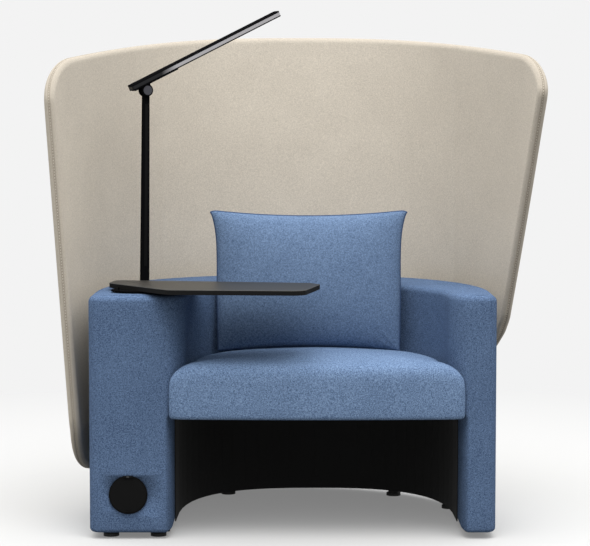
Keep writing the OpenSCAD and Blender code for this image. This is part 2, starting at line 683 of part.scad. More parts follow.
module port_lid() {
  color([0.09, 0.09, 0.09]) here() difference() {
    union() {
      at_port(lid_y) difference() {
        bar(lid_t, lid_r);
        translate([-lid_r, 3 * lid_hinge_r - 3 * port_r, -over])
          cube([2 * lid_r, 2 * port_r, lid_t + 2 * over]);
      }
      for (s = [-1, 1]) translate([port_x + (s < 0 ? -lid_barrel_gap - lid_barrel_w : lid_barrel_gap),
          lid_hinge_y, lid_hinge_z]) {
        rotate([0, 90, 0]) bar(lid_barrel_w, lid_hinge_r);
        translate([0, lid_y - lid_hinge_y, -4 * lid_hinge_r])
          cube([lid_barrel_w, lid_t - lid_gap, 4 * lid_hinge_r]);
      }
      translate([port_x - lip_w / 2, lid_y - lip_t, port_z - lid_r + lip_t])
        cube([lip_w, lip_t + lid_gap, lip_t / 2]);
    }
    translate([port_x - port_r, lid_hinge_y, lid_hinge_z]) rotate([0, 90, 0])
      bar(2 * port_r, lid_pin_r + run_fit);
  }
}
lid_pin_l = 2 * (lid_barrel_gap + lid_barrel_w + lid_ear_w);
module port_hinge_pin() {
  color([0.6, 0.6, 0.6]) here() translate([port_x - lid_pin_l / 2, lid_hinge_y, lid_hinge_z])
    rotate([0, 90, 0]) bar(lid_pin_l, lid_pin_r);
}
module port_spring() {
  w = 2 * (lid_barrel_gap - seat_fit);
  color([0.5, 0.5, 0.5]) here() translate([port_x - w / 2, lid_hinge_y, lid_hinge_z]) rotate([0, 90, 0])
    difference() {
      bar(w, lid_hinge_r - run_fit * 4);
      translate([0, 0, -over]) bar(w + 2 * over, lid_pin_r);
    }
}

// Mains inlet low in the back, and the lead from it to the outlet along the base plate
inlet_l = 65;
inlet_x = -45;
inlet_z = 60;
inlet_r = 14;
inlet_flange = 3;
inlet_front_y = shell_depth - inlet_l;
inlet_pin_r = 1.5;
inlet_recess = 18;
module mains_inlet() {
  l = shell_depth + seat_fit - inlet_front_y;
  color([0.08, 0.08, 0.08]) here() translate([inlet_x, inlet_front_y, inlet_z]) rotate([-90, 0, 0])
    difference() {
      union() {
        bar(l, inlet_r);
        translate([0, 0, l]) bar(inlet_flange, inlet_r + inlet_flange);
      }
      translate([0, 0, l + inlet_flange - inlet_recess]) difference() {
        bar(inlet_recess + over, inlet_r - inlet_flange);
        for (t = [90:120:330]) rotate([0, 0, t]) translate([inlet_r / 3, 0, -over])
          bar(inlet_recess, inlet_pin_r);
      }
    }
}
lead_r = 3.5;
lead_sides = 8;
lead_route = [[-401, 44, 108], [-401, 64, 107], [-401, 84, 98], [-400, 98, 80], [-398, 108, 60],
  [-395, 122, 44], [-380, 136, 37.5], [-352, 168, 36.6], [-348, 220, 36.5], [-350, 290, 36.5],
  [-340, 350, 36.5], [-322, 400, 36.5], [-296, 448, 36.5], [-262, 488, 36.5], [-222, 528, 36.5],
  [-178, 562, 36.5],
  [-132, 588, 37], [-96, 604, 42], [-68, 614, 52], [-50, 624, 59], [-45, 640, 60]];
function unit(v) = v / norm(v);
function tangent(p, i) = unit(p[min(i + 1, len(p) - 1)] - p[max(i - 1, 0)]);
function side_of(t) = unit(cross(t, [0.2, 0.1, 1]));
function tube_ring(p, i, r, sides) = let (t = i == 0 || i == len(p) - 1 ? [0, 1, 0] : tangent(p, i),
  a = side_of(t), b = cross(t, a)) [for (k = [0:sides - 1]) p[i] + r * (cos(360 * k / sides) * a
  + sin(360 * k / sides) * b)];
module port_lead() {
  color([0.06, 0.06, 0.06]) here()
    stack([for (i = [len(lead_route) - 1:-1:0]) tube_ring(lead_route, i, lead_r, lead_sides)],
      lead_route[len(lead_route) - 1], lead_route[0]);
}

// Tablet on its pivot: a post through the arm's top, a flange, a washer, and a bushed plate
pivot_flange_r = 34;
pivot_flange_t = 2;
pivot_washer_r = 20;
pivot_washer_t = 2.4;
plate_r = 62;
plate_t = 3;
bush_t = 2;
bush_depth = 8;
nut_r = 16;
nut_t = 8;
plate_z = tablet_top_z - tablet_t - plate_t;
tablet_z = tablet_top_z - tablet_t;
tablet_back = [-72, 50];                // its back corner from the pivot
slot_w = 3;
tablet_screw_r = 2;
tablet_screw_ring = 50;
// Corners of the tablet as shares of the back edge's length, with their rounding
tablet_shares = [[-0.02, 0.184, 0.045], [0.98, 0.204, 0.02], [1.047, 0.135, 0.02],
  [1.05, -0.27, 0.07], [0.4, -0.351, 0.053], [0, 0, 0.029]];
function turned(p, a) = [p[0] * cos(a) - p[1] * sin(a), p[0] * sin(a) + p[1] * cos(a)];
function tablet_xy(s) = [pivot_x, pivot_y] + tablet_back + turned([s[0], s[1]] * tablet_l, tablet_turn);
round_steps = 5;
// Rounds each corner of an outline: each point carries its radius
function rounded(pts) = [for (i = [0:len(pts) - 1])
  let (n = len(pts), p = pts[i], a = pts[(i + n - 1) % n], b = pts[(i + 1) % n],
  u = unit([a[0] - p[0], a[1] - p[1]]), v = unit([b[0] - p[0], b[1] - p[1]]),
  half = acos(u * v) / 2, c = [p[0], p[1]] + unit(u + v) * p[2] / sin(half),
  s = -u * p[2] / tan(half) + c - [p[0], p[1]], e = -v * p[2] / tan(half) + c - [p[0], p[1]],
  a0 = atan2(-s[1], -s[0]), a1 = atan2(-e[1], -e[0]), d = (a1 - a0 + 540) % 360 - 180)
  each [for (k = [0:round_steps]) let (t = a0 + d * k / round_steps) c + p[2] * [cos(t), sin(t)]]];
function tablet_outline() = rounded([for (s = tablet_shares) let (p = tablet_xy(s))
  [p[0], p[1], s[2] * tablet_l]]);
slot_ends_shares = [[0.055, 0.115], [0.24, -0.09]];
module tablet_top() {
  color([0.3, 0.31, 0.32]) here() difference() {
    translate([0, 0, tablet_z]) linear_extrude(tablet_t) polygon(tablet_outline());
    translate([pivot_x, pivot_y, tablet_z - over]) bar(bush_depth + over, pivot_r + bush_t);
    translate([0, 0, tablet_top_z - tablet_t / 2]) linear_extrude(tablet_t) tablet_slot();
    for (p = tablet_screw_places()) translate([p[0], p[1], tablet_z - over])
      bar(bush_depth + over, tablet_screw_r);
  }
}
module tablet_slot() {
  a = tablet_xy(slot_ends_shares[0]);
  b = tablet_xy(slot_ends_shares[1]);
  w = slot_w / 2 * turned(unit(b - a), 90);
  polygon([a + w, b + w, b - w, a - w]);
}
function tablet_screw_places() = [for (t = [45:90:315])
  [pivot_x, pivot_y] + tablet_screw_ring * [cos(t + tablet_turn), sin(t + tablet_turn)]];
module tablet_plate() {
  color([0.12, 0.12, 0.12]) here() difference() {
    translate([pivot_x, pivot_y, plate_z]) bar(plate_t, plate_r);
    translate([pivot_x, pivot_y, plate_z - over]) bar(plate_t + 2 * over, pivot_r + bush_t);
    for (p = tablet_screw_places()) translate([p[0], p[1], plate_z - over])
      bar(plate_t + 2 * over, tablet_screw_r);
  }
}
module tablet_bush() {
  color([0.85, 0.84, 0.8]) here() translate([pivot_x, pivot_y, plate_z]) difference() {
    bar(plate_t + bush_depth - seat_fit, pivot_r + bush_t);
    translate([0, 0, -over]) bar(plate_t + bush_depth + 2 * over, pivot_r + run_fit);
  }
}
module tablet_screws() {
  color([0.4, 0.4, 0.4]) here() for (p = tablet_screw_places()) translate([p[0], p[1], plate_z])
    bar(plate_t + bush_depth - seat_fit, tablet_screw_r);
}
module pivot_post() {
  color([0.6, 0.6, 0.62]) here() translate([pivot_x, pivot_y, top_plate_z - nut_t])
    bar(tablet_z + bush_depth - 2 * seat_fit - top_plate_z + nut_t, pivot_r);
}
module pivot_nut() {
  color([0.55, 0.55, 0.57]) here() translate([pivot_x, pivot_y, top_plate_z - nut_t]) difference() {
    cylinder(h = nut_t, r = nut_r, $fn = 6);
    translate([0, 0, -over]) bar(nut_t + 2 * over, pivot_r);
  }
}
module pivot_flange() {
  color([0.12, 0.12, 0.12]) here() translate([pivot_x, pivot_y, shell_top_z]) difference() {
    bar(pivot_flange_t, pivot_flange_r);
    translate([0, 0, -over]) bar(pivot_flange_t + 2 * over, pivot_r);
  }
}
module pivot_washer() {
  t = plate_z - shell_top_z - pivot_flange_t - run_fit;
  color([0.85, 0.85, 0.82]) here() translate([pivot_x, pivot_y, shell_top_z + pivot_flange_t])
    difference() {
      bar(t, pivot_washer_r);
      translate([0, 0, -over]) bar(t + 2 * over, pivot_r);
    }
}

// Lamp: a socket in the arm's top, a leaning blade of a post, a friction hinge and the head
socket_down = 10;
lamp_flange_r = 26;
lamp_flange_t = 3.5;
lamp_bush_t = 1.5;
lamp_bush_l = 32;
lamp_collar_r = 13;
lamp_collar_t = 8;
lamp_collar_gap = 0.3;
lamp_wire_r = 2.5;
lamp_bore_r = 3;
blade_low_w = 22;
blade_top_w = 17;
blade_t = 9;
blade_lean = 6;                         // the blade's top stands to the head's side
strip_w = 8;
strip_t = 0.8;
strip_low = 40;
strip_high = 34;
strip_lean_share = 0.1;                 // share of the blade's lean at the strip's foot
driver_size = [56, 36, 90];
eye_r = 13;
fork_r = 15;
fork_t = 6;
hinge_pin_r = 3;
hinge_washer_t = 0.7;
cap_t = 1.5;
head_off = 22;                          // the head's middle line from its hinge
head_tail = 36;
head_skin = 3;                          // thickness of the head's cover and of its bezel
head_root_l = 100;                      // the thick root of the head
head_root_t = 3;
head_corner = 6;
head_wall = 3;
board_t = 1.6;
lamp_socket_z = top_plate_z - socket_down;
lamp_flange_z = shell_top_z;
lamp_bush_z = lamp_flange_z + lamp_flange_t - lamp_bush_l;
collar_z = lamp_flange_z + lamp_flange_t + lamp_collar_gap;
blade_z = collar_z + lamp_collar_t;
hinge_x = blade_lean;
module at_lamp() { here() translate([lamp_x, lamp_y, 0]) rotate([0, 0, lamp_turn]) children(); }
module lamp_socket() {
  color([0.08, 0.08, 0.08]) at_lamp() difference() {
    union() {
      translate([0, 0, lamp_socket_z]) bar(lamp_flange_z - lamp_socket_z + over, lamp_socket_r);
      translate([0, 0, lamp_flange_z]) bar(lamp_flange_t, lamp_flange_r);
    }
    translate([0, 0, lamp_bush_z]) bar(lamp_bush_l + over, spigot_r + lamp_bush_t);
    translate([0, 0, lamp_socket_z - over]) bar(lamp_bush_l * 2, lamp_bore_r);
  }
}
module lamp_bush() {
  color([0.85, 0.84, 0.8]) at_lamp() translate([0, 0, lamp_bush_z]) difference() {
    bar(lamp_bush_l, spigot_r + lamp_bush_t);
    translate([0, 0, -over]) bar(lamp_bush_l + 2 * over, spigot_r + run_fit);
  }
}
module lamp_driver() {
  color([0.12, 0.12, 0.12]) at_lamp() translate([-driver_size[0] / 2, -driver_size[1] / 2,
    lamp_socket_z - driver_size[2]]) cube(driver_size);
}
module lamp_lead() {
  color([0.06, 0.06, 0.06]) at_lamp() translate([0, 0, lamp_socket_z])
    cylinder(h = blade_z - lamp_socket_z, r = lamp_wire_r, $fn = 16);
}
module lamp_post() {
  spigot_z = lamp_bush_z + lamp_collar_gap;
  color([0.08, 0.08, 0.09]) at_lamp() difference() {
    union() {
      translate([0, 0, spigot_z]) bar(collar_z - spigot_z + over, spigot_r);
      translate([0, 0, collar_z]) bar(lamp_collar_t, lamp_collar_r);
      translate([0, blade_t / 2, 0]) rotate([90, 0, 0]) linear_extrude(blade_t) polygon([
        [-blade_low_w / 2, blade_z - over], [blade_low_w / 2, blade_z - over],
        [hinge_x + blade_top_w / 2, lamp_hinge_z], [hinge_x - blade_top_w / 2, lamp_hinge_z]]);
      translate([hinge_x, blade_t / 2, lamp_hinge_z]) rotate([90, 0, 0]) bar(blade_t, eye_r);
    }
    translate([hinge_x, blade_t, lamp_hinge_z]) rotate([90, 0, 0])
      bar(2 * blade_t, hinge_pin_r + run_fit);
    translate([0, 0, spigot_z - over]) bar(blade_z - spigot_z + 2 * over, lamp_bore_r);
  }
}
module lamp_post_strip() {
  color([0.02, 0.02, 0.02]) at_lamp() translate([0, -blade_t / 2, 0]) rotate([90, 0, 0])
    linear_extrude(strip_t) polygon([for (e = [[-1, -1], [1, -1], [1, 1], [-1, 1]])
      [(e[1] < 0 ? blade_lean * strip_lean_share : hinge_x) + e[0] * strip_w / 2,
       e[1] < 0 ? blade_z + strip_low : lamp_hinge_z - strip_high]]);
}
// The head's own frame: x along the head, y along the hinge, z square to the head
fork_y = blade_t / 2 + hinge_washer_t + run_fit * 2;
module at_head() {
  at_lamp() translate([hinge_x, 0, lamp_hinge_z]) rotate([0, -lamp_rise, 0]) children();
}
head_low = head_off - head_t / 2;
head_high = head_off + head_t / 2;
// A rectangle from x0 to x1 and w wide, its corners rounded
module strip_plan(x0, x1, w, r) {
  polygon(rounded([[x0, -w / 2, r], [x1, -w / 2, r], [x1, w / 2, r], [x0, w / 2, r]]));
}
module head_plan(d) {
  strip_plan(-head_tail + d, lamp_reach - d, head_w - 2 * d, head_corner - d);
}
module lamp_knuckle() {
  color([0.1, 0.1, 0.11]) at_head() difference() {
    union() {
      for (s = [-1, 1]) translate([0, s * (fork_y + fork_t / 2), 0]) {
        rotate([90, 0, 0]) bar(fork_t, fork_r, center = true);
        translate([-eye_r, -fork_t / 2, 0]) cube([2 * eye_r, fork_t, head_low - head_root_t]);
      }
      translate([-head_tail + head_corner, -fork_y - fork_t, head_low - head_root_t])
        cube([head_root_l + head_tail - head_corner, 2 * (fork_y + fork_t), head_root_t]);
    }
    rotate([90, 0, 0]) bar(2 * head_w, hinge_pin_r, center = true);
    rotate([90, 0, 0]) bar(2 * fork_y, eye_r + seat_fit, center = true);
  }
}
module lamp_hinge_pin() {
  color([0.6, 0.6, 0.6]) at_head() rotate([90, 0, 0])
    bar(2 * (fork_y + fork_t), hinge_pin_r, center = true);
}
module lamp_hinge_caps() {
  color([0.28, 0.28, 0.3]) at_head() for (s = [-1, 1])
    translate([0, s * (fork_y + fork_t + cap_t / 2), 0]) rotate([90, 0, 0])
      bar(cap_t, eye_r - cap_t, center = true);
}
module lamp_washers() {
  color([0.8, 0.8, 0.8]) at_head() for (s = [-1, 1]) translate([0, s * (fork_y - hinge_washer_t / 2), 0])
    rotate([90, 0, 0]) difference() {
      bar(hinge_washer_t, eye_r - 2 * cap_t, center = true);
      bar(2 * hinge_washer_t, hinge_pin_r, center = true);
    }
}
module lamp_head_frame() {
  color([0.75, 0.75, 0.77]) at_head() translate([0, 0, head_low + head_skin]) difference() {
    linear_extrude(head_t - 2 * head_skin) head_plan(0);
    translate([0, 0, -over]) linear_extrude(head_t) head_plan(head_wall);
  }
}
module lamp_head_cover() {
  color([0.06, 0.06, 0.06]) at_head() translate([0, 0, head_high - head_skin])
    linear_extrude(head_skin) head_plan(0);
}
module lamp_head_bezel() {
  color([0.06, 0.06, 0.06]) at_head() translate([0, 0, head_low]) difference() {
    linear_extrude(head_skin) head_plan(0);
    translate([0, 0, -over]) linear_extrude(head_skin + 2 * over) window_plan(0);
  }
}
module window_plan(d) {
  strip_plan(head_root_l + d, lamp_reach - 2 * head_wall - d, head_w - 4 * head_wall - 2 * d,
    head_corner / 2);
}
module lamp_diffuser() {
  color([0.95, 0.95, 0.93]) at_head() translate([0, 0, head_low + seat_fit])
    linear_extrude(head_skin - seat_fit) window_plan(seat_fit);
}
module lamp_led_board() {
  color([0.9, 0.9, 0.88]) at_head() translate([0, 0, head_high - head_skin - board_t])
    linear_extrude(board_t) head_plan(head_wall);
}

// Loose lumbar pillow with knife edges, drawn in between its pointed corners
pillow_off = -18;                       // its middle from the well's middle
pillow_back = 152;                      // its middle before the well's back
pillow_up = 10;                         // play under its drawn-in foot
pillow_x = tub_x + pillow_off;
pillow_y = tub_y + tub_r - pillow_back;
pillow_z = seat_crown_z + pillow_h / 2 - pillow_up;
pillow_lean = 7.5;
pillow_draw_share = 0.07;
pillow_top_share = 0.08;
pillow_foot_share = 0.055;
pillow_cols = 16;
pillow_rows = 12;
pillow_full = 0.46;
pillow_taper_share = 0.082;
pillow_edge_share = 0.045;
function pillow_point(u, v, s) = let (h = pillow_h / 2,
  x = pillow_w / 2 * u * (1 - mix(pillow_draw_share, v > 0 ? 0 : pillow_taper_share, v * v)),
  z = h * v * (1 - (v > 0 ? pillow_top_share : pillow_foot_share) * (1 - u * u)),
  y = s * pillow_t / 2 * mix(pow(max((1 - u * u) * (1 - v * v), 0), pillow_full), 1, pillow_edge_share))
  [pillow_x + x, pillow_y + y * cos(pillow_lean) + (z + h) * sin(pillow_lean),
   pillow_z + z * cos(pillow_lean) - y * sin(pillow_lean)];
function spread(i, n) = sin(90 * (2 * i / n - 1));
module pillow() {
  n = pillow_cols + 1;
  m = pillow_rows + 1;
  k = n * m;
  pts = [for (s = [-1, 1], j = [0:pillow_rows], i = [0:pillow_cols])
    pillow_point(spread(i, pillow_cols), spread(j, pillow_rows), s)];
  grid = [for (j = [0:pillow_rows - 1], i = [0:pillow_cols - 1]) let (a = j * n + i)
    each [[a, a + n, a + n + 1], [a, a + n + 1, a + 1]]];
  back = [for (f = grid) [f[0], f[2], f[1]] + [k, k, k]];
  rim = concat([for (i = [0:n - 1]) i], [for (j = [1:m - 1]) j * n + n - 1],
    [for (i = [n - 2:-1:0]) (m - 1) * n + i], [for (j = [m - 2:-1:1]) j * n]);
  edge = [for (i = [0:len(rim) - 1]) let (a = rim[i], b = rim[(i + 1) % len(rim)])
    each [[a, b, b + k], [a, b + k, a + k]]];
  color([0.44, 0.53, 0.65]) here() polyhedron(pts, concat(grid, back, edge));
}

// Frame: the origin lies under the middle of the whole chair's box
back_y = screen_back(screen_top_z) + screen_t;
front_y = min([for (p = tablet_outline()) p[1]]);
shift_y = -(front_y + back_y) / 2;
module here() { translate([0, shift_y, 0]) children(); }

shell_cover();
well_cover();
fitting_surrounds();
shell_base_plate();
shell_top_plate();
shell_posts();
port_board();
under_liner();
glide_pads();
glide_screws();
seat_cushion();
seat_board();
seat_rail();
seat_bolts();
screen_core();
screen_inner_pad();
screen_outer_pad();
screen_spacers();
screen_bolts();
port_bezel();
port_cup();
port_socket();
port_contacts();
port_lock_ring();
port_lid();
port_hinge_pin();
port_spring();
mains_inlet();
port_lead();
pivot_post();
pivot_flange();
pivot_washer();
pivot_nut();
tablet_top();
tablet_plate();
tablet_bush();
tablet_screws();
lamp_socket();
lamp_bush();
lamp_driver();
lamp_lead();
lamp_post();
lamp_post_strip();
lamp_knuckle();
lamp_hinge_pin();
lamp_hinge_caps();
lamp_washers();
lamp_head_frame();
lamp_head_cover();
lamp_head_bezel();
lamp_led_board();
lamp_diffuser();
pillow();
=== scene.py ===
# %% [markdown]
# An acoustic high back lounge chair, dressed for its portrait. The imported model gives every
# hard piece at its real size, and this script gives the surfaces: wool felt over foam, a padded
# screen with seamed edges, a loose pillow, and finishes for the tablet, the lamp and the outlet.
# Everything is in metres, +Z up, with the floor at zero and the chair's front towards -Y.

# %% Load the frame
import json
import math
import bmesh
import bpy
from mathutils import Matrix, Vector, noise


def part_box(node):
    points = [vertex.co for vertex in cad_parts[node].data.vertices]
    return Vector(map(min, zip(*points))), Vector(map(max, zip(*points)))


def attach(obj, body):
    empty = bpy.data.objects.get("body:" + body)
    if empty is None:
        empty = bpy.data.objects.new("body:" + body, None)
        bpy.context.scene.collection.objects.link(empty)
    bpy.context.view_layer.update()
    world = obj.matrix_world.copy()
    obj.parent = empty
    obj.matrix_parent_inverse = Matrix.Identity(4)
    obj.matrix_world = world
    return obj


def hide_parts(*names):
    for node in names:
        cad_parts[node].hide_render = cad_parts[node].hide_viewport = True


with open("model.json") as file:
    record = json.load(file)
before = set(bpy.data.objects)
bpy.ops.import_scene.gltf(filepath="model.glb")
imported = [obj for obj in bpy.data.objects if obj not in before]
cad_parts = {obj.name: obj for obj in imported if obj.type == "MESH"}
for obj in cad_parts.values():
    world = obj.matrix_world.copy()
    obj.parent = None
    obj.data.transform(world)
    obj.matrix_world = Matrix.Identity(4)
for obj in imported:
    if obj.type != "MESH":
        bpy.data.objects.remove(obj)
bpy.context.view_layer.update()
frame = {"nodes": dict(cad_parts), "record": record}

# %% [markdown]
# The chair's outlines follow rules: rounded noses, arcs and flattened ovals. They are set out
# from the front of the arms, as an upholsterer would measure them, and the frame tells how far
# that line stands from the model's own middle: the arms' fronts are the front of the shell.

# %% The chair's measures
MM = 0.001
SAME_POINT = 0.01 * MM
FRONT_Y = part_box("shell_cover")[0].y
SHELL_X = -8 * MM
SHELL_HALF = 487 * MM
SHELL_DEPTH = 705 * MM
SHELL_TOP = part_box("shell_cover")[1].z
SHELL_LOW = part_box("shell_cover")[0].z
ARM_STRAIGHT = 150 * MM
NOSE_R = 26 * MM
BACK_POWER = 2.15
WELL_X = 50 * MM
WELL_Y = 100 * MM
WELL_R = 316 * MM
UNDER_HALF = 348 * MM
UNDER_Y = 170 * MM
UNDER_BACK = 434 * MM
UNDER_POWER = 2.7
SEAT_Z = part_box("seat_cushion")[0].z
SEAT_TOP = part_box("seat_cushion")[1].z
SEAT_OVERHANG = 25 * MM
SEAT_GAP = 1 * MM
TABLET_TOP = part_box("tablet_top")[1].z
print("arm fronts at y", round(FRONT_Y, 4), "seat from", round(SEAT_Z, 3), "to", round(SEAT_TOP, 3))


# %% [markdown]
# A finished piece is always the same few steps: a mesh from points and faces, smooth shading,
# one material, and a body to ride on. One helper does them, so each piece below is only its
# shape. Points are given from the arms' fronts, and the helper shifts them into the frame.

# %% A helper that makes a piece
def make_piece(name, points, faces, material, body="root"):
    mesh = bpy.data.meshes.new(name)
    mesh.from_pydata([(p[0], p[1] + FRONT_Y, p[2]) for p in points], [], faces)
    mesh.validate()
    piece = bpy.data.objects.new(name, mesh)
    bpy.context.scene.collection.objects.link(piece)
    mesh.materials.append(material)
    mesh.polygons.foreach_set("use_smooth", [True] * len(mesh.polygons))
    tidy_mesh(mesh)
    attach(piece, body)
    return piece


def tidy_mesh(mesh):
    work = bmesh.new()
    work.from_mesh(mesh)
    bmesh.ops.remove_doubles(work, verts=work.verts, dist=SAME_POINT)
    bmesh.ops.recalc_face_normals(work, faces=work.faces)
    if work.calc_volume(signed=True) < 0:
        bmesh.ops.reverse_faces(work, faces=work.faces)
    work.to_mesh(mesh)
    work.free()
    mesh.update()


def mix(a, b, t):
    return a + (b - a) * t


def clamp(v, low=0.0, high=1.0):
    return min(max(v, low), high)


def power(v, p):
    return math.copysign(abs(v) ** p, v)


# %% [markdown]
# Node trees read best as arithmetic. This small class wraps a socket, so that `a * 2 + b`
# adds the Math nodes for it, in shaders and in Geometry Nodes alike. Every other kind of node
# comes from `Tree.add`, which sets the node's own settings first and then fills its sockets.

# %% Sockets that do arithmetic
class Wire:
    def __init__(self, tree, socket):
        self.tree, self.socket = tree, socket

    def math(self, operation, *others):
        return self.tree.add("ShaderNodeMath", {"operation": operation}, [self, *others])

    def __add__(self, other): return self.math("ADD", other)
    def __radd__(self, other): return self.math("ADD", other)
    def __sub__(self, other): return self.math("SUBTRACT", other)
    def __rsub__(self, other): return self.tree.value(other).math("SUBTRACT", self)
    def __mul__(self, other): return self.math("MULTIPLY", other)
    def __rmul__(self, other): return self.math("MULTIPLY", other)
    def __truediv__(self, other): return self.math("DIVIDE", other)
    def __rtruediv__(self, other): return self.tree.value(other).math("DIVIDE", self)
    def __pow__(self, other): return self.math("POWER", other)
    def __neg__(self): return self.math("MULTIPLY", -1)
    def __abs__(self): return self.math("ABSOLUTE")
    def least(self, other): return self.math("MINIMUM", other)
    def most(self, other): return self.math("MAXIMUM", other)
    def clamp(self): return self.least(1.0).most(0.0)
    def cos(self): return self.math("COSINE")
    def sin(self): return self.math("SINE")
    def acos(self): return self.math("ARCCOSINE")
    def exp(self): return self.math("EXPONENT")
    def sign(self): return self.math("SIGN")


class Tree:
    def __init__(self, node_tree):
        self.node_tree = node_tree

    def value(self, number):
        return self.add("ShaderNodeMath", {"operation": "ADD"}, [number, 0.0])

    def add(self, kind, settings=None, inputs=(), output=0):
        node = self.node_tree.nodes.new(kind)
        for key, setting in (settings or {}).items():
            setattr(node, key, setting)
        pairs = inputs.items() if isinstance(inputs, dict) else enumerate(inputs)
        for key, given in pairs:
            socket = node.inputs[key]
            if isinstance(key, str):
                socket = next(s for s in node.inputs if s.name == key and s.enabled)
            if isinstance(given, Wire):
                self.node_tree.links.new(given.socket, socket)
            elif given is not None:
                socket.default_value = given
        return Wire(self, node.outputs[output])

    def other(self, wire, output):
        return Wire(self, wire.socket.node.outputs[output])

    def blend(self, factor, a, b):
        return self.add("ShaderNodeMix", {"data_type": "RGBA"}, {0: factor, 6: a, 7: b}, 2)


def srgb(r, g, b):
    return tuple(((c / 255 + 0.055) / 1.055) ** 2.4 if c > 10 else c / 255 / 12.92
                 for c in (r, g, b)) + (1.0,)


print("arithmetic on sockets is ready")

# %% [markdown]
# The camera comes first. It stands about five metres off at a seated person's eye level, with a
# long lens, tilted a little down.

# %% Camera
CAMERA_X, CAMERA_BACK, CAMERA_Z = -2.4 * MM, 4.795, 0.991
CAMERA_TILT = 4.197
CAMERA_LENS, CAMERA_SENSOR = 123.8, 36
camera_data = bpy.data.cameras.new("camera")
camera_data.lens = CAMERA_LENS
camera_data.sensor_width = CAMERA_SENSOR
camera = bpy.data.objects.new("camera", camera_data)
camera.location = (CAMERA_X, FRONT_Y - CAMERA_BACK, CAMERA_Z)
camera.rotation_euler = (math.radians(90 - CAMERA_TILT), 0, 0)
bpy.context.scene.collection.objects.link(camera)
bpy.context.scene.camera = camera
bpy.context.scene.view_settings.view_transform = "Standard"
print("camera at", [round(v, 3) for v in camera.location])

# %% [markdown]
# The studio is a pale floor under a soft sky and one large light. The sky is brightest overhead
# and a little brighter in front. The paleness of the background comes from what camera rays see,
# so the felt keeps its own colour. The floor fades into the background's colour away from the
# chair, which hides the horizon.

# %% Studio
PALE = srgb(243, 243, 243)
FLOOR_NEAR = srgb(188, 188, 187)
FLOOR_BOUNCE = srgb(124, 124, 123)
SKY_LOW, SKY_HIGH = 0.4, 2.9
SKY_ACROSS, SKY_FRONT = -0.04, 0.3
FADE_FROM, FADE_RUN = 0.9, 1.6
FLOOR_GLOW = 0.22
FLOOR_REACH = 30
LIGHT_AT, LIGHT_TARGET = (0.5, -2.6, 6.0), (0, 0, 0.5)
LIGHT_SIZE, LIGHT_POWER = 4.0, 190


def new_material(name):
    material = bpy.data.materials.new(name)
    material.use_nodes = True
    material.node_tree.nodes.clear()
    return material, Tree(material.node_tree)


def output_of(tree, shader, kind="ShaderNodeOutputMaterial"):
    node = tree.node_tree.nodes.new(kind)
    tree.node_tree.links.new(shader.socket, node.inputs["Surface"])


def seen_by_camera(tree):
    rays = tree.add("ShaderNodeLightPath")
    glossy, through = tree.other(rays, "Is Glossy Ray"), tree.other(rays, "Is Transmission Ray")
    return rays.most(glossy).most(through)


def make_world():
    world = bpy.data.worlds.new("studio")
    bpy.context.scene.world = world
    world.use_nodes = True
    world.node_tree.nodes.clear()
    tree = Tree(world.node_tree)
    seen = seen_by_camera(tree)
    across = tree.add("ShaderNodeSeparateXYZ", {}, [tree.add("ShaderNodeTexCoord")], 0)
    along, up = tree.other(across, 1), tree.other(across, 2).most(0.0)
    strength = up * up * (across * SKY_ACROSS - along * SKY_FRONT + 1) * SKY_HIGH + SKY_LOW
    fill = tree.add("ShaderNodeBackground", {}, {"Color": (1, 1, 1, 1), "Strength": strength})
    pale = tree.add("ShaderNodeBackground", {}, {"Color": PALE, "Strength": 1.0})
    both = tree.add("ShaderNodeMixShader", {}, [seen, fill, pale])
    output_of(tree, both, "ShaderNodeOutputWorld")


def make_floor():
    material, tree = new_material("studio floor")
    place = tree.add("ShaderNodeTexCoord", {}, (), "Object")
    far = tree.add("ShaderNodeVectorMath", {"operation": "LENGTH"}, [place], "Value")
    fade = ((far - FADE_FROM) / FADE_RUN).clamp() * (1 - FLOOR_GLOW) + FLOOR_GLOW
    seen = seen_by_camera(tree)
    colour = tree.blend(seen, FLOOR_BOUNCE, FLOOR_NEAR)
    cloth = tree.add("ShaderNodeBsdfDiffuse", {}, {"Color": colour})
    glow = tree.add("ShaderNodeEmission", {}, {"Color": PALE, "Strength": 1.0})
    output_of(tree, tree.add("ShaderNodeMixShader", {}, [fade * seen, cloth, glow]))
    mesh = bpy.data.meshes.new("floor")
    reach = FLOOR_REACH
    mesh.from_pydata([(-reach, -reach, 0), (reach, -reach, 0), (reach, reach, 0),
                      (-reach, reach, 0)], [], [(0, 1, 2, 3)])
    mesh.materials.append(material)
    floor = bpy.data.objects.new("floor", mesh)
    bpy.context.scene.collection.objects.link(floor)


def make_light():
    data = bpy.data.lights.new("top light", "AREA")
    data.shape, data.size, data.energy = "DISK", LIGHT_SIZE, LIGHT_POWER
    light = bpy.data.objects.new("top light", data)
    light.location = LIGHT_AT
    aim = Vector(LIGHT_TARGET) - Vector(LIGHT_AT)
    light.rotation_euler = aim.to_track_quat("-Z", "Y").to_euler()
    bpy.context.scene.collection.objects.link(light)


make_world()
make_floor()
make_light()
print("studio: a world, a floor and a light of", LIGHT_POWER, "watts")

# %% [markdown]
# Wool felt is a melange: light and dark fibres lie side by side, so up close it is speckled and
# from afar it is one soft colour. Two noises mix the fibres, a third makes the broad wear marks,
# and a bump gives the nap. Everything reads Object coordinates, so the scale is real. A painted
# shade is an attribute of the mesh that darkens the felt's colour, such as the painted shade along
# the screen's rim band and in the valley of its seam.

# %% Materials
FIBRES, TUFTS, WEAR = 700, 330, 9
NAP, NAP_HEIGHT = 0.35, 0.6 * MM
GRAIN, GRAIN_HEIGHT = 900, 0.1 * MM


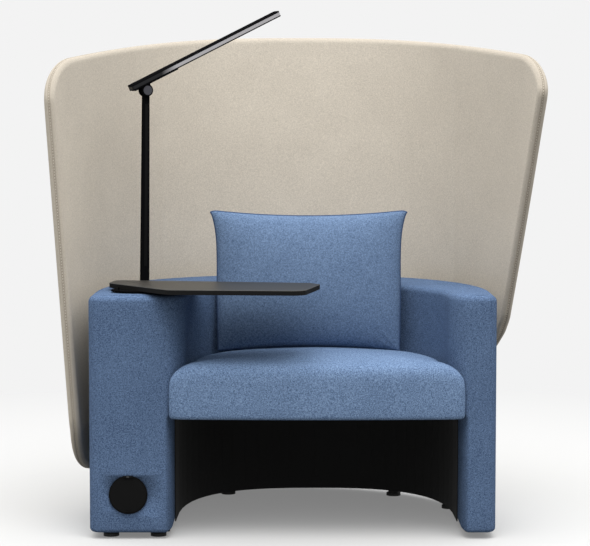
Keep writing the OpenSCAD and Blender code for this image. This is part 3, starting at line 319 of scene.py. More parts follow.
def felt(name, dark, light, size=1.0, contrast=1.0, painted_shades=()):
    material, tree = new_material(name)
    place = tree.add("ShaderNodeTexCoord", {}, (), "Object")

    def grain(scale, detail, rough=0.6):
        return tree.add("ShaderNodeTexNoise", {}, {"Vector": place, "Scale": scale / size,
                        "Detail": detail, "Roughness": rough}, 0)

    fibres, tufts, broad = grain(FIBRES, 4, 0.7), grain(TUFTS, 3), grain(WEAR, 2)
    mixed = (fibres - 0.5) * (1.7 * contrast) + (tufts - 0.5) * (1.5 * contrast) + 0.5
    mixed = (mixed + (broad - 0.5) * 0.25).clamp()
    colour = tree.blend(mixed, dark, light)
    # Each painted shade darkens the colour towards its tone where the mesh's mark is high: painted
    # shade, not a colour of the felt itself.
    for mark, tone, strength in painted_shades:
        painted_shade_mask = tree.add("ShaderNodeAttribute", {"attribute_name": mark}, (), "Fac")
        colour = tree.blend((painted_shade_mask * strength).clamp(), colour, tone)
    height = fibres * 0.6 + tufts * 0.4
    bump = tree.add("ShaderNodeBump", {}, {
        "Height": height, "Strength": NAP, "Distance": NAP_HEIGHT})
    output_of(tree, tree.add("ShaderNodeBsdfPrincipled", {}, {
        "Base Color": colour, "Roughness": 0.92, "Normal": bump, "Specular IOR Level": 0.05}))
    return material


def plain(name, colour, rough, metal=0.0, grain=0.0, bump=0.0, stretch=(1, 1, 1), gloss=0.5):
    material, tree = new_material(name)
    inputs = {"Base Color": colour, "Roughness": rough, "Metallic": metal,
              "Specular IOR Level": gloss}
    if grain or bump:
        place = tree.add("ShaderNodeTexCoord", {}, (), "Object")
        drawn = tree.add("ShaderNodeVectorMath", {"operation": "MULTIPLY"}, [place, stretch])
        speck = tree.add("ShaderNodeTexNoise", {}, {
            "Vector": drawn, "Scale": GRAIN, "Detail": 3}, 0)
        if grain:
            inputs["Roughness"] = (speck - 0.5) * grain + rough
        if bump:
            inputs["Normal"] = tree.add("ShaderNodeBump", {}, {
                "Height": speck, "Strength": bump, "Distance": GRAIN_HEIGHT})
    output_of(tree, tree.add("ShaderNodeBsdfPrincipled", {}, inputs))
    return material


def laminate(name, top, line, side):
    low, high, blur = TABLET_TOP - 1.3 * MM, TABLET_TOP - 0.4 * MM, 0.3 * MM
    dull, satin = 0.85, 0.42
    material, tree = new_material(name)
    place = tree.add("ShaderNodeTexCoord", {}, (), "Object")
    up = tree.add("ShaderNodeSeparateXYZ", {}, [place], "Z")
    # The lighter line just under the top is a painted highlight where the bevel catches the light;
    # below it is the black edge.
    with_painted_highlight = tree.blend((up - low) * (1 / blur), side, line)
    colour = tree.blend((up - high) * (1 / blur), with_painted_highlight, top)
    speck = tree.add("ShaderNodeTexNoise", {}, {"Vector": place, "Scale": GRAIN, "Detail": 3}, 0)
    bump = tree.add("ShaderNodeBump", {}, {
        "Height": speck, "Strength": 0.3, "Distance": GRAIN_HEIGHT})
    matt = (up - high) * (-0.4 / blur) + dull
    output_of(tree, tree.add("ShaderNodeBsdfPrincipled", {}, {
        "Base Color": colour, "Roughness": matt.most(satin).least(dull),
        "Specular IOR Level": 0.2, "Normal": bump}))
    return material


def fading(name, root, tip, first, last):
    material, tree = new_material(name)
    place = tree.add("ShaderNodeTexCoord", {}, (), "Object")
    along = tree.add("ShaderNodeSeparateXYZ", {}, [place], "X")
    colour = tree.blend((along - first) * (1 / (last - first)), root, tip)
    output_of(tree, tree.add("ShaderNodeBsdfPrincipled", {}, {
        "Base Color": colour, "Roughness": 0.45, "Metallic": 0.6}))
    return material


def plywood(name):
    material, tree = new_material(name)
    place = tree.add("ShaderNodeTexCoord", {}, (), "Object")
    plies = tree.add("ShaderNodeTexWave", {"bands_direction": "Z"}, {
        "Vector": place, "Scale": 110, "Distortion": 1.5, "Detail": 2, "Detail Scale": 3}, 1)
    colour = tree.blend(plies, srgb(190, 158, 116), srgb(221, 194, 152))
    output_of(tree, tree.add("ShaderNodeBsdfPrincipled", {}, {
        "Base Color": colour, "Roughness": 0.6}))
    return material


BLUE = felt("blue felt", srgb(47, 63, 90), srgb(103, 125, 156), contrast=1.4)
# The seat's felt is a lighter copy of the blue felt. It is partly a lighter fabric with a lighter
# nap, and partly painted light that stands in for the top light falling on the seat.
SEAT_BLUE_WITH_PAINTED_LIGHT = felt("seat felt with painted light", srgb(59, 78, 107), srgb(126, 150, 182), contrast=1.4)
PILLOW_BLUE = felt("pillow fabric", srgb(62, 80, 107), srgb(114, 136, 166), size=1.2,
                   contrast=1.2)
PIPING = felt("blue piping", srgb(40, 55, 82), srgb(74, 94, 126))
# The beige felt carries painted shade: darker over the rounding of the screen's rim, which faces
# the light, and darker still in the valley of the seam on its crest.
BEIGE = felt("beige felt", srgb(170, 162, 150), srgb(221, 212, 197), size=1.1, contrast=0.8,
             painted_shades=[("edge", srgb(146, 138, 126), 0.6), ("crest", srgb(104, 95, 83), 0.6)])
THREAD_BEIGE = plain("beige thread", srgb(214, 206, 190), 0.8)
LOOKS = {
    "blue_felt": BLUE, "beige_felt": BEIGE, "pillow_fabric": PILLOW_BLUE,
    "plywood": plywood("plywood"),
    "black_board": plain("black board", srgb(12, 12, 12), 0.9),
    "black_plastic": plain("black plastic", srgb(10, 10, 10), 0.75, bump=0.4, gloss=0.1),
    "pale_plastic": plain("pale plastic", srgb(222, 222, 216), 0.5),
    # The middle colour is the painted highlight on the tablet's bevelled edge.
    "tablet_laminate": laminate("graphite laminate with painted highlight", srgb(50, 49, 46), srgb(118, 117, 114),
                                srgb(9, 9, 9)),
    "black_metal": plain("black powder coat", srgb(20, 20, 21), 0.45, bump=0.5),
    "grey_metal": plain("grey satin paint", srgb(96, 98, 100), 0.4, metal=0.6),
    "steel": plain("zinc plated steel", srgb(168, 168, 172), 0.35, metal=1.0, grain=0.2),
    "aluminium": plain("satin aluminium", srgb(206, 207, 210), 0.32, metal=1.0, grain=0.12,
                       stretch=(0.2, 0.2, 4)),
    "brass": plain("brass", srgb(214, 178, 96), 0.3, metal=1.0),
    "glide_rubber": plain("glide", srgb(22, 22, 22), 0.7),
    "diffuser": plain("opal diffuser", srgb(240, 240, 236), 0.3),
    "circuit": plain("circuit board", srgb(228, 229, 226), 0.5),
}
LAMP_BLACK = plain("lamp black", srgb(14, 14, 15), 0.7, gloss=0.0)
BAND_DARK_TO, BAND_LIGHT_FROM = -335 * MM, -300 * MM
BLACK_NODES = ["pivot_post", "pivot_flange", "pivot_washer", "pivot_nut", "tablet_plate",
               "tablet_bush", "tablet_screws", "lamp_bush", "lamp_washers", "lamp_knuckle",
               "lamp_post", "lamp_head_cover", "lamp_head_bezel"]
OWN_LOOKS = dict.fromkeys(BLACK_NODES, LAMP_BLACK)
OWN_LOOKS["lamp_hinge_caps"] = plain("hinge caps", srgb(70, 70, 75), 0.6, gloss=0.1)
OWN_LOOKS["lamp_head_frame"] = fading("lamp band", srgb(24, 24, 26), srgb(172, 170, 173),
                                      BAND_DARK_TO, BAND_LIGHT_FROM)
print(len(LOOKS), "finishes for the record's slots, and", len(OWN_LOOKS), "pieces with their own")

# %% [markdown]
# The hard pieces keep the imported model's own geometry. Each one takes the finish of its slot, or
# its own for the black lamp and the tablet's pivot. Many take a narrow bevel on their sharp
# edges, because a real edge always catches a little light.

# %% Dress the hard pieces
SOFT_NODES = {"shell_cover", "well_cover", "fitting_surrounds", "seat_cushion", "screen_outer_pad",
              "screen_inner_pad", "pillow"}
BEVEL_STEPS, BEVEL_ANGLE = 2, 40
BEVELS = {"tablet_top": 1.2, "port_bezel": 0.8, "port_lid": 0.8, "lamp_post": 0.6,
          "lamp_head_cover": 0.8, "lamp_head_bezel": 0.8, "lamp_head_frame": 0.5,
          "lamp_knuckle": 0.4, "lamp_socket": 0.5, "pivot_flange": 0.5, "glide_pads": 1.0}
slot_of = {item["node"]: item["material_slot"] for item in frame["record"]["subparts"]}


def soften_edges(piece, width):
    bevel = piece.modifiers.new("bevel", "BEVEL")
    bevel.width, bevel.segments, bevel.limit_method = width * MM, BEVEL_STEPS, "ANGLE"
    bevel.angle_limit = math.radians(BEVEL_ANGLE)
    bevel.harden_normals = False


def dress(name, piece):
    piece.data.materials.clear()
    piece.data.materials.append(OWN_LOOKS.get(name, LOOKS[slot_of[name]]))
    if name in BEVELS:
        soften_edges(piece, BEVELS[name])


for node_name, node_piece in frame["nodes"].items():
    if node_name not in SOFT_NODES:
        dress(node_name, node_piece)
print(len(frame["nodes"]) - len(SOFT_NODES), "hard pieces dressed,", len(BEVELS), "with bevels")

# %% [markdown]
# The screen is one wall that hugs the shell low down and splays out towards its upper front
# corners. Its rule is written once, as arithmetic on the sockets of a Geometry Nodes tree: two
# grids become the inner and the outer face, and both close in to a round rim. The distance to
# the rim also marks the rim's crest, where the sewn seam lies, and the place across gives the two
# upright seams. The rim's mark and the crest's mark are also where painted shade darkens the felt.

# %% The screen's node tree
SCREEN_SIZES = {
    "Half Width": 552 * MM, "Flare": 0.07, "Flare From": 244 * MM, "Lean": 0.042,
    "Lean From": 158 * MM, "Back": 722 * MM, "Front": 100 * MM, "Thickness": 27 * MM,
    "Hug From": 430 * MM, "Top": 1226 * MM, "Left Fall": 0.131, "Right Fall": 0.115,
    "Corner Run": 150 * MM, "Corner Height": 97 * MM, "Low": 112 * MM, "High Corner": 480 * MM,
    "Sweep Run": 300 * MM, "Sweep Height": 170 * MM, "Tip": 40 * MM, "Arc": 2153 * MM,
    "Cut Back": 230 * MM, "Cut Back Top": 1080 * MM, "Seam Depth": 2.4 * MM,
}
HUG, SPLAY, CUT, SWEEP = 2.3, 2.8, 0.5, 0.58
CUT_EASE = 0.04
UPRIGHT_SEAMS, SEAM_WIDTH = (-351 * MM, 416 * MM), 5 * MM
CREST_WIDTH = 3 * MM
RISE_BLEND = 40 * MM
SCREEN_COLUMNS, SCREEN_ROWS = 260, 130
RIM_WELD = 0.05 * MM


def group_with_inputs(name, sizes, counts=(), path=False):
    group = bpy.data.node_groups.new(name, "GeometryNodeTree")
    if path:
        group.interface.new_socket("Path", in_out="INPUT", socket_type="NodeSocketGeometry")
    for key in sizes:
        group.interface.new_socket(key, in_out="INPUT", socket_type="NodeSocketFloat")
    for key in counts:
        group.interface.new_socket(key, in_out="INPUT", socket_type="NodeSocketInt")
    group.interface.new_socket("Material", in_out="INPUT", socket_type="NodeSocketMaterial")
    group.interface.new_socket("Geometry", in_out="OUTPUT", socket_type="NodeSocketGeometry")
    tree = Tree(group)
    source = group.nodes.new("NodeGroupInput")
    inlets = {item.name: Wire(tree, source.outputs[item.name])
              for item in group.interface.items_tree if item.in_out == "INPUT"}
    return group, tree, inlets


def close_group(tree, geometry, material):
    real = tree.add("GeometryNodeRealizeInstances", {}, [geometry])
    painted = tree.add("GeometryNodeSetMaterial", {}, {"Geometry": real, "Material": material})
    sink = tree.node_tree.nodes.new("NodeGroupOutput")
    tree.node_tree.links.new(painted.socket, sink.inputs["Geometry"])


def screen_sheet(tree, size, outer):
    grid = tree.add("GeometryNodeMeshGrid", {}, {
        "Size X": 1.0, "Size Y": 1.0, "Vertices X": size["Columns"], "Vertices Y": size["Rows"]})
    place = tree.add("GeometryNodeInputPosition")
    across = tree.add("ShaderNodeSeparateXYZ", {}, [place], 0)
    u, v = across + 0.5, tree.other(across, 1) + 0.5
    s = 0.5 - (u * math.pi).cos() * 0.5
    v = 0.5 - (v * math.pi).cos() * 0.5
    on_left = s.math("LESS_THAN", 0.5)

    def back_at(z):
        return size["Back"] + size["Lean"] * (z - size["Lean From"])

    def plan(c, z, depth):
        deep = back_at(z) + depth - size["Front"]
        far = ((z - size["Hug From"]) / (size["Top"] - size["Hug From"])).clamp()
        hug = (1 - abs(c) ** HUG).most(0.0) ** (1 / HUG)
        splay = 1 - abs(c) ** SPLAY
        return size["Front"] + deep * (hug + (splay - hug) * far)

    def edge(z, y):
        share = (y / (back_at(z) - size["Front"])).clamp()
        return (1 - share ** HUG).most(0.0) ** (1 / HUG)

    def drop(run, height):
        return (1 - (1 - (1 - run).most(0.0) ** 2).most(0.0) ** 0.5) * height

    turn = -((s * math.pi).cos())
    c_line = turn.sign() * abs(turn) ** (2 / HUG)
    fall = size["Right Fall"] + (size["Left Fall"] - size["Right Fall"]) * on_left
    top_line = size["Top"] - fall * (back_at(size["Top"]) - plan(c_line, size["Top"], 0.0))
    sweep = ((s - SWEEP) / (1 - SWEEP)).clamp()
    low_line = size["Low"] + (size["High Corner"] - size["Low"]) * sweep * sweep
    top_run = plan(c_line, size["Top"] - size["Corner Height"], 0.0) - size["Front"]
    low_run = plan(c_line, size["Low"], 0.0) - size["Front"]
    tip_run = (1 - s) * size["Arc"]
    top_drop = drop(top_run / size["Corner Run"], size["Corner Height"])
    left_drop = drop(low_run / size["Sweep Run"], size["Sweep Height"])
    right_drop = drop(tip_run / size["Tip"], size["Tip"])
    low_drop = right_drop + (left_drop - right_drop) * on_left
    z_low, z_high = low_line + low_drop, top_line - top_drop
    z = z_low + (z_high - z_low) * v

    reach = (size["Cut Back Top"] - z) / (size["Cut Back Top"] - size["High Corner"])
    reach = reach.clamp()
    cut = size["Cut Back"] * reach ** CUT * (1 - (-(reach / CUT_EASE)).exp())
    left = (-(edge(z, tree.value(0.0)) ** (HUG / 2))).acos()
    right = (edge(z, cut) ** (HUG / 2)).acos()
    swing = (left + (right - left) * s).cos()
    c = swing.sign() * abs(swing) ** (2 / HUG)
    right_edge = plan(edge(z, cut), z, 0.0)
    inward = plan(c, z, 0.0) - right_edge - (size["Front"] - right_edge) * on_left

    def corner_distance(near, run, height, rise, fallen):
        a = near + (inward - near) * ((rise - fallen) / RISE_BLEND).clamp()
        across, up = (1 - a / run).most(0.0), (1 - rise / height).most(0.0)
        reached = (across ** 2 + up ** 2) ** 0.5
        slope = ((across / run) ** 2 + (up / height) ** 2) ** 0.5
        curved, straight = (1 - reached) * reached / slope.most(0.001), a.least(rise)
        return straight + (curved - straight) * across.sign() * up.sign()

    at_top = corner_distance(top_run, size["Corner Run"], size["Corner Height"],
                             top_line - z, top_drop)
    at_left = corner_distance(low_run, size["Sweep Run"], size["Sweep Height"],
                              z - low_line, left_drop)
    at_right = corner_distance(tip_run, size["Tip"], size["Tip"], z - low_line, right_drop)
    rim = at_top.least(at_right + (at_left - at_right) * on_left).most(0.0)
    half = size["Thickness"] * 0.5
    close = 1 - (1 - (1 - (rim / half).least(1.0)) ** 2).most(0.0) ** 0.5
    width = size["Half Width"] + size["Flare"] * (z - size["Flare From"]).most(0.0)
    x = c * (width - size["Thickness"])

    def bell(distance, spread):
        return (-((distance / spread) ** 2)).exp()

    depth = close * half
    if outer:
        depth = size["Thickness"] - depth
    else:
        for seam in UPRIGHT_SEAMS:
            depth = depth + bell(x - seam, SEAM_WIDTH) * size["Seam Depth"] * (rim / half).clamp()
    x = c * (width - size["Thickness"] + depth)
    where = tree.add("ShaderNodeCombineXYZ", {}, [x, plan(c, z, depth), z])
    # edge: painted shade over the rim's rounding; crest: painted shade in the seam's valley, and it
    # also sinks the seam and guides the stitches.
    marks = {"edge": (1 - rim / half).most(0.0), "crest": bell((1 - close) * half, CREST_WIDTH)}
    for mark, value in marks.items():
        kind = {"data_type": "FLOAT", "domain": "POINT"}
        grid = tree.add("GeometryNodeStoreNamedAttribute", kind, {
            "Geometry": grid, "Name": mark, "Value": value})
    sheet = tree.add("GeometryNodeSetPosition", {}, {"Geometry": grid, "Position": where})
    return tree.add("GeometryNodeFlipFaces", {}, [sheet]) if outer else sheet


def grow(name, group, values, path=((0, 0, 0),)):
    mesh = bpy.data.meshes.new(name)
    count = len(path)
    edges = [(i, (i + 1) % count) for i in range(count)] if count > 1 else []
    mesh.from_pydata(path, edges, [])
    host = bpy.data.objects.new(name + " host", mesh)
    bpy.context.scene.collection.objects.link(host)
    modifier = host.modifiers.new("nodes", "NODES")
    modifier.node_group = group
    for item in group.interface.items_tree:
        if item.in_out == "INPUT" and item.name in values:
            modifier[item.identifier] = values[item.name]
    bpy.context.view_layer.update()
    graph = bpy.context.evaluated_depsgraph_get()
    grown = bpy.data.meshes.new_from_object(host.evaluated_get(graph))
    bpy.data.objects.remove(host)
    grown.name = name
    piece = bpy.data.objects.new(name, grown)
    bpy.context.scene.collection.objects.link(piece)
    return piece


screen_group, screen_tree, screen_in = group_with_inputs(
    "screen", SCREEN_SIZES, ("Columns", "Rows"))
faces = [screen_sheet(screen_tree, screen_in, outer) for outer in (False, True)]
joined = screen_tree.node_tree.nodes.new("GeometryNodeJoinGeometry")
for face in faces:
    screen_tree.node_tree.links.new(face.socket, joined.inputs[0])
whole = screen_tree.add("GeometryNodeMergeByDistance", {}, {
    "Geometry": Wire(screen_tree, joined.outputs[0]), "Distance": RIM_WELD})
crest = screen_tree.add("GeometryNodeInputNamedAttribute", {"data_type": "FLOAT"}, {
    "Name": "crest"})
outward = screen_tree.add("GeometryNodeInputNormal")
sink = screen_tree.add("ShaderNodeVectorMath", {"operation": "SCALE"}, {
    "Vector": outward, "Scale": -(crest * screen_in["Seam Depth"])})
sewn = screen_tree.add("GeometryNodeSetPosition", {}, {"Geometry": whole, "Offset": sink})
smooth = screen_tree.add("GeometryNodeSetShadeSmooth", {}, [sewn])
close_group(screen_tree, smooth, screen_in["Material"])
screen = grow("screen", screen_group, dict(
    SCREEN_SIZES, Columns=SCREEN_COLUMNS, Rows=SCREEN_ROWS, Material=BEIGE))
screen.data.transform(Matrix.Translation((0, FRONT_Y, 0)))
tidy_mesh(screen.data)
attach(screen, "root")
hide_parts("screen_outer_pad", "screen_inner_pad")
print("screen:", len(screen.data.polygons), "faces")

# %% [markdown]
# A sewn line is a closed path with stitches laid along it. The tree takes the path from the mesh
# that it stands on, spaces the points out and lays a short thread on each one. The screen's path
# is the row of points on the crest of its rim.

# %% Stitches
STITCH_SIZES = {"Step": 7 * MM, "Length": 4.6 * MM, "Radius": 0.8 * MM}
STITCH_SIDES, STITCH_RINGS = 6, 5
CREST_MARK = 0.999
stitch_group, stitch_tree, stitch_in = group_with_inputs("stitches", STITCH_SIZES, path=True)
curve = stitch_tree.add("GeometryNodeMeshToCurve", {}, {"Mesh": stitch_in["Path"]})
spaced = stitch_tree.add("GeometryNodeResampleCurve", {"mode": "LENGTH"}, {
    "Curve": curve, "Length": stitch_in["Step"]})
thread = stitch_tree.add("GeometryNodeMeshUVSphere", {}, {
    "Segments": STITCH_SIDES, "Rings": STITCH_RINGS, "Radius": stitch_in["Radius"]})
aim = stitch_tree.add("FunctionNodeAlignRotationToVector", {"axis": "Z"}, {
    "Vector": stitch_tree.add("GeometryNodeInputTangent")})
stretch = stitch_tree.add("ShaderNodeCombineXYZ", {}, [
    1.0, 1.0, stitch_in["Length"] / (stitch_in["Radius"] * 2)])
laid = stitch_tree.add("GeometryNodeInstanceOnPoints", {}, {
    "Points": spaced, "Instance": thread, "Rotation": aim, "Scale": stretch})
close_group(stitch_tree, laid, stitch_in["Material"])


def sew(name, path, material, body="root"):
    line = grow(name, stitch_group, dict(STITCH_SIZES, Material=material), path)
    line.data.polygons.foreach_set("use_smooth", [True] * len(line.data.polygons))
    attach(line, body)
    return len(line.data.polygons) // (STITCH_SIDES * STITCH_RINGS)


def crest_path(mesh):
    marks = [item.value > CREST_MARK for item in mesh.attributes["crest"].data]
    beside = {}
    for edge in mesh.edges:
        a, b = edge.vertices
        if marks[a] and marks[b]:
            beside.setdefault(a, []).append(b)
            beside.setdefault(b, []).append(a)
    here = next(iter(beside))
    path, seen = [], set()
    while here is not None:
        seen.add(here)
        path.append(mesh.vertices[here].co.copy())
        here = next((n for n in beside[here] if n not in seen), None)
    return path


screen_line = crest_path(screen.data)
print("stitches on the screen:", sew("screen_stitches", screen_line, THREAD_BEIGE))

# %% [markdown]
# The shell is a horseshoe. Its plan is a rounded nose on each arm, a straight outer side and a
# flattened oval round the back, with a circular well for the sitter and a wider space under the
# seat. The same outline at many heights, with a round at the top and at the bottom, makes the
# whole skin, and the arm tops crown a little because felt over foam is never quite flat. Two
# round holes let the outlet and the inlet through.

# %% The shell
NOSE_STEPS, BACK_STEPS = 18, 132
STEP_LOW, STEP_HIGH = SEAT_Z + 1 * MM, SEAT_Z + 15 * MM
TOP_ROUND, LOW_ROUND = 15 * MM, 10 * MM
ARM_CROWN, CROWN_POWER = 2.5 * MM, 0.8
TOP_STRIPS = 10
LOW_NOSE, HIGH_NOSE = 46 * MM, 64 * MM
UNDER_NOSE_X, UNDER_NOSE_Y = 16 * MM, 60 * MM
LOW_ROWS, FOOT_ROWS, WALL_ROWS, TOP_ROWS = 6, 12, 14, 7
PORT_HOLE_R, INLET_HOLE_R, HOLE_DEPTH = 40.5 * MM, 14.5 * MM, 120 * MM
HOLE_SIDES = 96


def turned_points(steps, first, last, place):
    return [place(math.radians(mix(first, last, i / steps))) for i in range(steps + 1)]


def mirrored(points, x):
    return [(2 * x - p[0], p[1]) for p in reversed(points)]


def outer_path(d):
    left = SHELL_X - SHELL_HALF + NOSE_R
    nose = turned_points(NOSE_STEPS, 0, 90, lambda t: (
        left - (NOSE_R - d) * math.sin(t), NOSE_R - (NOSE_R - d) * math.cos(t)))
    back = turned_points(BACK_STEPS, 180, 0, lambda t: (
        SHELL_X + (SHELL_HALF - d) * power(math.cos(t), 2 / BACK_POWER),
        ARM_STRAIGHT + (SHELL_DEPTH - ARM_STRAIGHT - d) * abs(math.sin(t)) ** (2 / BACK_POWER)))
    return nose + back + mirrored(nose, SHELL_X)


def inner_nose(d, half, rx, ry):
    return turned_points(NOSE_STEPS, 0, 90, lambda t: (
        WELL_X - half - rx + (rx - d) * math.sin(t), ry - (ry - d) * math.cos(t)))


def well_path(d, rx):
    nose = inner_nose(d, WELL_R, rx, WELL_Y)
    back = turned_points(BACK_STEPS, 180, 0, lambda t: (
        WELL_X + (WELL_R + d) * math.cos(t), WELL_Y + (WELL_R + d) * math.sin(t)))
    return nose + back + mirrored(nose, WELL_X)


def under_path(d):
    nose = inner_nose(d, UNDER_HALF, UNDER_NOSE_X, UNDER_NOSE_Y)
    back = turned_points(BACK_STEPS, 180, 0, lambda t: (
        WELL_X + (UNDER_HALF + d) * power(math.cos(t), 2 / UNDER_POWER),
        UNDER_Y + (UNDER_BACK + d) * abs(math.sin(t)) ** (2 / UNDER_POWER)))
    return nose + back + mirrored(nose, WELL_X)


def well_nose(z):
    return mix(LOW_NOSE, HIGH_NOSE, clamp((z - STEP_HIGH) / (SHELL_TOP - STEP_HIGH)))


def stack_faces(rows, count):
    return [(j * count + i, j * count + (i + 1) % count,
             (j + 1) * count + (i + 1) % count, (j + 1) * count + i)
            for j in range(rows - 1) for i in range(count)]


def shell_points():
    rows = []

    def row(outer, inner, z):
        rows.append([(p[0], p[1], z) for p in outer] + [(p[0], p[1], z) for p in reversed(inner)])

    for i in range(LOW_ROWS + 1):
        t = math.radians(90 - 90 / LOW_ROWS * i)
        d = LOW_ROUND * (1 - math.cos(t))
        row(outer_path(d), under_path(d), SHELL_LOW + LOW_ROUND - LOW_ROUND * math.sin(t))
    for i in range(1, FOOT_ROWS + 1):
        z = mix(SHELL_LOW + LOW_ROUND, STEP_LOW, i / FOOT_ROWS)
        row(outer_path(0), under_path(0), z)
    row(outer_path(0), well_path(0, well_nose(STEP_HIGH)), STEP_HIGH)
    for i in range(1, WALL_ROWS + 1):
        z = mix(STEP_HIGH, SHELL_TOP - TOP_ROUND, i / WALL_ROWS)
        row(outer_path(0), well_path(0, well_nose(z)), z)
    for i in range(1, TOP_ROWS + 1):
        t = math.radians(90 * i / TOP_ROWS)
        d = TOP_ROUND * (1 - math.cos(t))
        row(outer_path(d), well_path(d, well_nose(SHELL_TOP)),
            SHELL_TOP - TOP_ROUND + TOP_ROUND * math.sin(t))
    return rows


shell_rows = shell_points()
ring = len(shell_rows[0])
side = ring // 2
points = [p for row in shell_rows for p in row]
faces = stack_faces(len(shell_rows), ring)
faces += [(i, ring - 1 - i, ring - 2 - i, i + 1) for i in range(side - 1)]
top_outer = [shell_rows[-1][i] for i in range(side)]
top_inner = [shell_rows[-1][ring - 1 - i] for i in range(side)]
base = len(points)
for j in range(1, TOP_STRIPS):
    share = j / TOP_STRIPS
    lift = ARM_CROWN * (1 - (2 * share - 1) ** 2) ** CROWN_POWER
    points += [(mix(a[0], b[0], share), mix(a[1], b[1], share), a[2] + lift)
               for a, b in zip(top_outer, top_inner)]
last_row = (len(shell_rows) - 1) * ring
strips = [[last_row + i for i in range(side)]]
strips += [[base + j * side + i for i in range(side)] for j in range(TOP_STRIPS - 1)]
strips += [[last_row + ring - 1 - i for i in range(side)]]
for a, b in zip(strips, strips[1:]):
    faces += [(a[i], a[i + 1], b[i + 1], b[i]) for i in range(side - 1)]
for end in (0, side - 1):
    faces.append([strip[end] for strip in strips])
shell = make_piece("shell", points, faces, BLUE)


def cut_round_holes(piece, holes):
    for place, radius in holes:
        work = bmesh.new()
        turned = Matrix.Translation(place) @ Matrix.Rotation(math.pi / 2, 4, "X")
        bmesh.ops.create_cone(work, cap_ends=True, segments=HOLE_SIDES, radius1=radius,
                              radius2=radius, depth=HOLE_DEPTH, matrix=turned)
        cutter_mesh = bpy.data.meshes.new("cutter")
        work.to_mesh(cutter_mesh)
        work.free()
        cutter = bpy.data.objects.new("cutter", cutter_mesh)
        bpy.context.scene.collection.objects.link(cutter)
        modifier = piece.modifiers.new("cut", "BOOLEAN")
        modifier.operation, modifier.object, modifier.solver = "DIFFERENCE", cutter, "EXACT"
        graph = bpy.context.evaluated_depsgraph_get()
        cut = bpy.data.meshes.new_from_object(piece.evaluated_get(graph))
        piece.modifiers.remove(modifier)
        piece.data = cut
        bpy.data.objects.remove(cutter)


def middle(node):
    low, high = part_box(node)
    return (Vector(low) + Vector(high)) / 2


port = middle("port_cup")
inlet = middle("mains_inlet")
cut_round_holes(shell, [((port.x, FRONT_Y, port.z), PORT_HOLE_R),
                        ((inlet.x, FRONT_Y + SHELL_DEPTH, inlet.z), INLET_HOLE_R)])
shell.data.polygons.foreach_set("use_smooth", [True] * len(shell.data.polygons))
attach(shell, "root")
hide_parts("shell_cover", "well_cover", "fitting_surrounds")
print("shell:", len(shell.data.polygons), "faces")

# %% [markdown]
# The seat is a D shaped cushion that fills the well: its plan follows the well's wall and bows
# a little at the front. Rings of that plan rise from a nearly square front to a soft crown, and
# the front corners drop, because the cover is pulled down over them. A slow noise on the top
# shows that the foam has been sat on.

# %% The seat
SEAT_MIDDLE = (WELL_Y + WELL_R - SEAT_OVERHANG) / 2
SEAT_CORNER = 24 * MM
SEAT_BOW = 10 * MM
SEAT_DROP_RUN, SEAT_DROP = 75 * MM, 26 * MM
SEAT_SHOULDER = WELL_R + LOW_NOSE - SEAT_DROP_RUN
SEAT_WAVES, SEAT_WAVE = 7, 1.6 * MM
SEAT_NOSE_STEPS, SEAT_CORNER_STEPS, SEAT_BACK_STEPS, SEAT_FRONT_STEPS = 14, 12, 96, 40
SEAT_NOSE_FROM = 12
SEAT_RINGS = [(0.93, 0.0), (0.965, 0), (0.985, 0.008), (0.996, 0.03), (1, 0.07), (1.002, 0.2),
              (1.003, 0.34), (1.002, 0.48), (1.0, 0.6), (0.997, 0.67), (0.992, 0.72),
              (0.984, 0.765), (0.972, 0.805), (0.956, 0.84), (0.935, 0.87), (0.9, 0.897),
              (0.85, 0.917), (0.79, 0.933), (0.72, 0.948), (0.64, 0.961), (0.55, 0.973),
              (0.45, 0.983), (0.34, 0.991), (0.22, 0.997), (0.1, 1.0)]


def seat_outline():
    nose = turned_points(SEAT_NOSE_STEPS, SEAT_NOSE_FROM, 90, lambda t: (
        WELL_X - WELL_R - LOW_NOSE + (LOW_NOSE + SEAT_GAP) * math.sin(t),
        WELL_Y - (WELL_Y + SEAT_GAP) * math.cos(t)))
    side_x = nose[0][0]
    corner = turned_points(SEAT_CORNER_STEPS, 90, 0, lambda t: (
        side_x + SEAT_CORNER * (1 - math.cos(t)),
        SEAT_BOW - SEAT_OVERHANG + SEAT_CORNER / 2 * (1 - math.sin(t))))
    left = corner + nose
    back = turned_points(SEAT_BACK_STEPS, 180, 0, lambda t: (
        WELL_X + (WELL_R - SEAT_GAP) * math.cos(t), WELL_Y + (WELL_R - SEAT_GAP) * math.sin(t)))
    front = []
    for i in range(1, SEAT_FRONT_STEPS):
        u = 1 - i / (SEAT_FRONT_STEPS / 2)
        front.append((WELL_X + u * (WELL_X - side_x - SEAT_CORNER),
                      SEAT_BOW * u * u - SEAT_OVERHANG))
    return left + back[1:-1] + mirrored(left, WELL_X) + front


outline = seat_outline()
count = len(outline)
points, faces = [], stack_faces(len(SEAT_RINGS), count)
for size, rise in SEAT_RINGS:
    z = mix(SEAT_Z, SEAT_TOP, rise)
    for p in outline:
        x, y = WELL_X + (p[0] - WELL_X) * size, SEAT_MIDDLE + (p[1] - SEAT_MIDDLE) * size
        wave = noise.noise(Vector((x * SEAT_WAVES, y * SEAT_WAVES, 3.1)))
        soft = wave * SEAT_WAVE * clamp(rise * 2 - 1)
        corner = clamp((abs(x - WELL_X) - SEAT_SHOULDER) / SEAT_DROP_RUN)
        drop = SEAT_DROP * corner * corner * clamp(rise * 1.6 - 0.6)
        points.append((x, y, z + soft - drop))
points += [(WELL_X, SEAT_MIDDLE, SEAT_Z), (WELL_X, SEAT_MIDDLE, SEAT_TOP)]
low_hub, top_hub = len(points) - 2, len(points) - 1
last_row = (len(SEAT_RINGS) - 1) * count
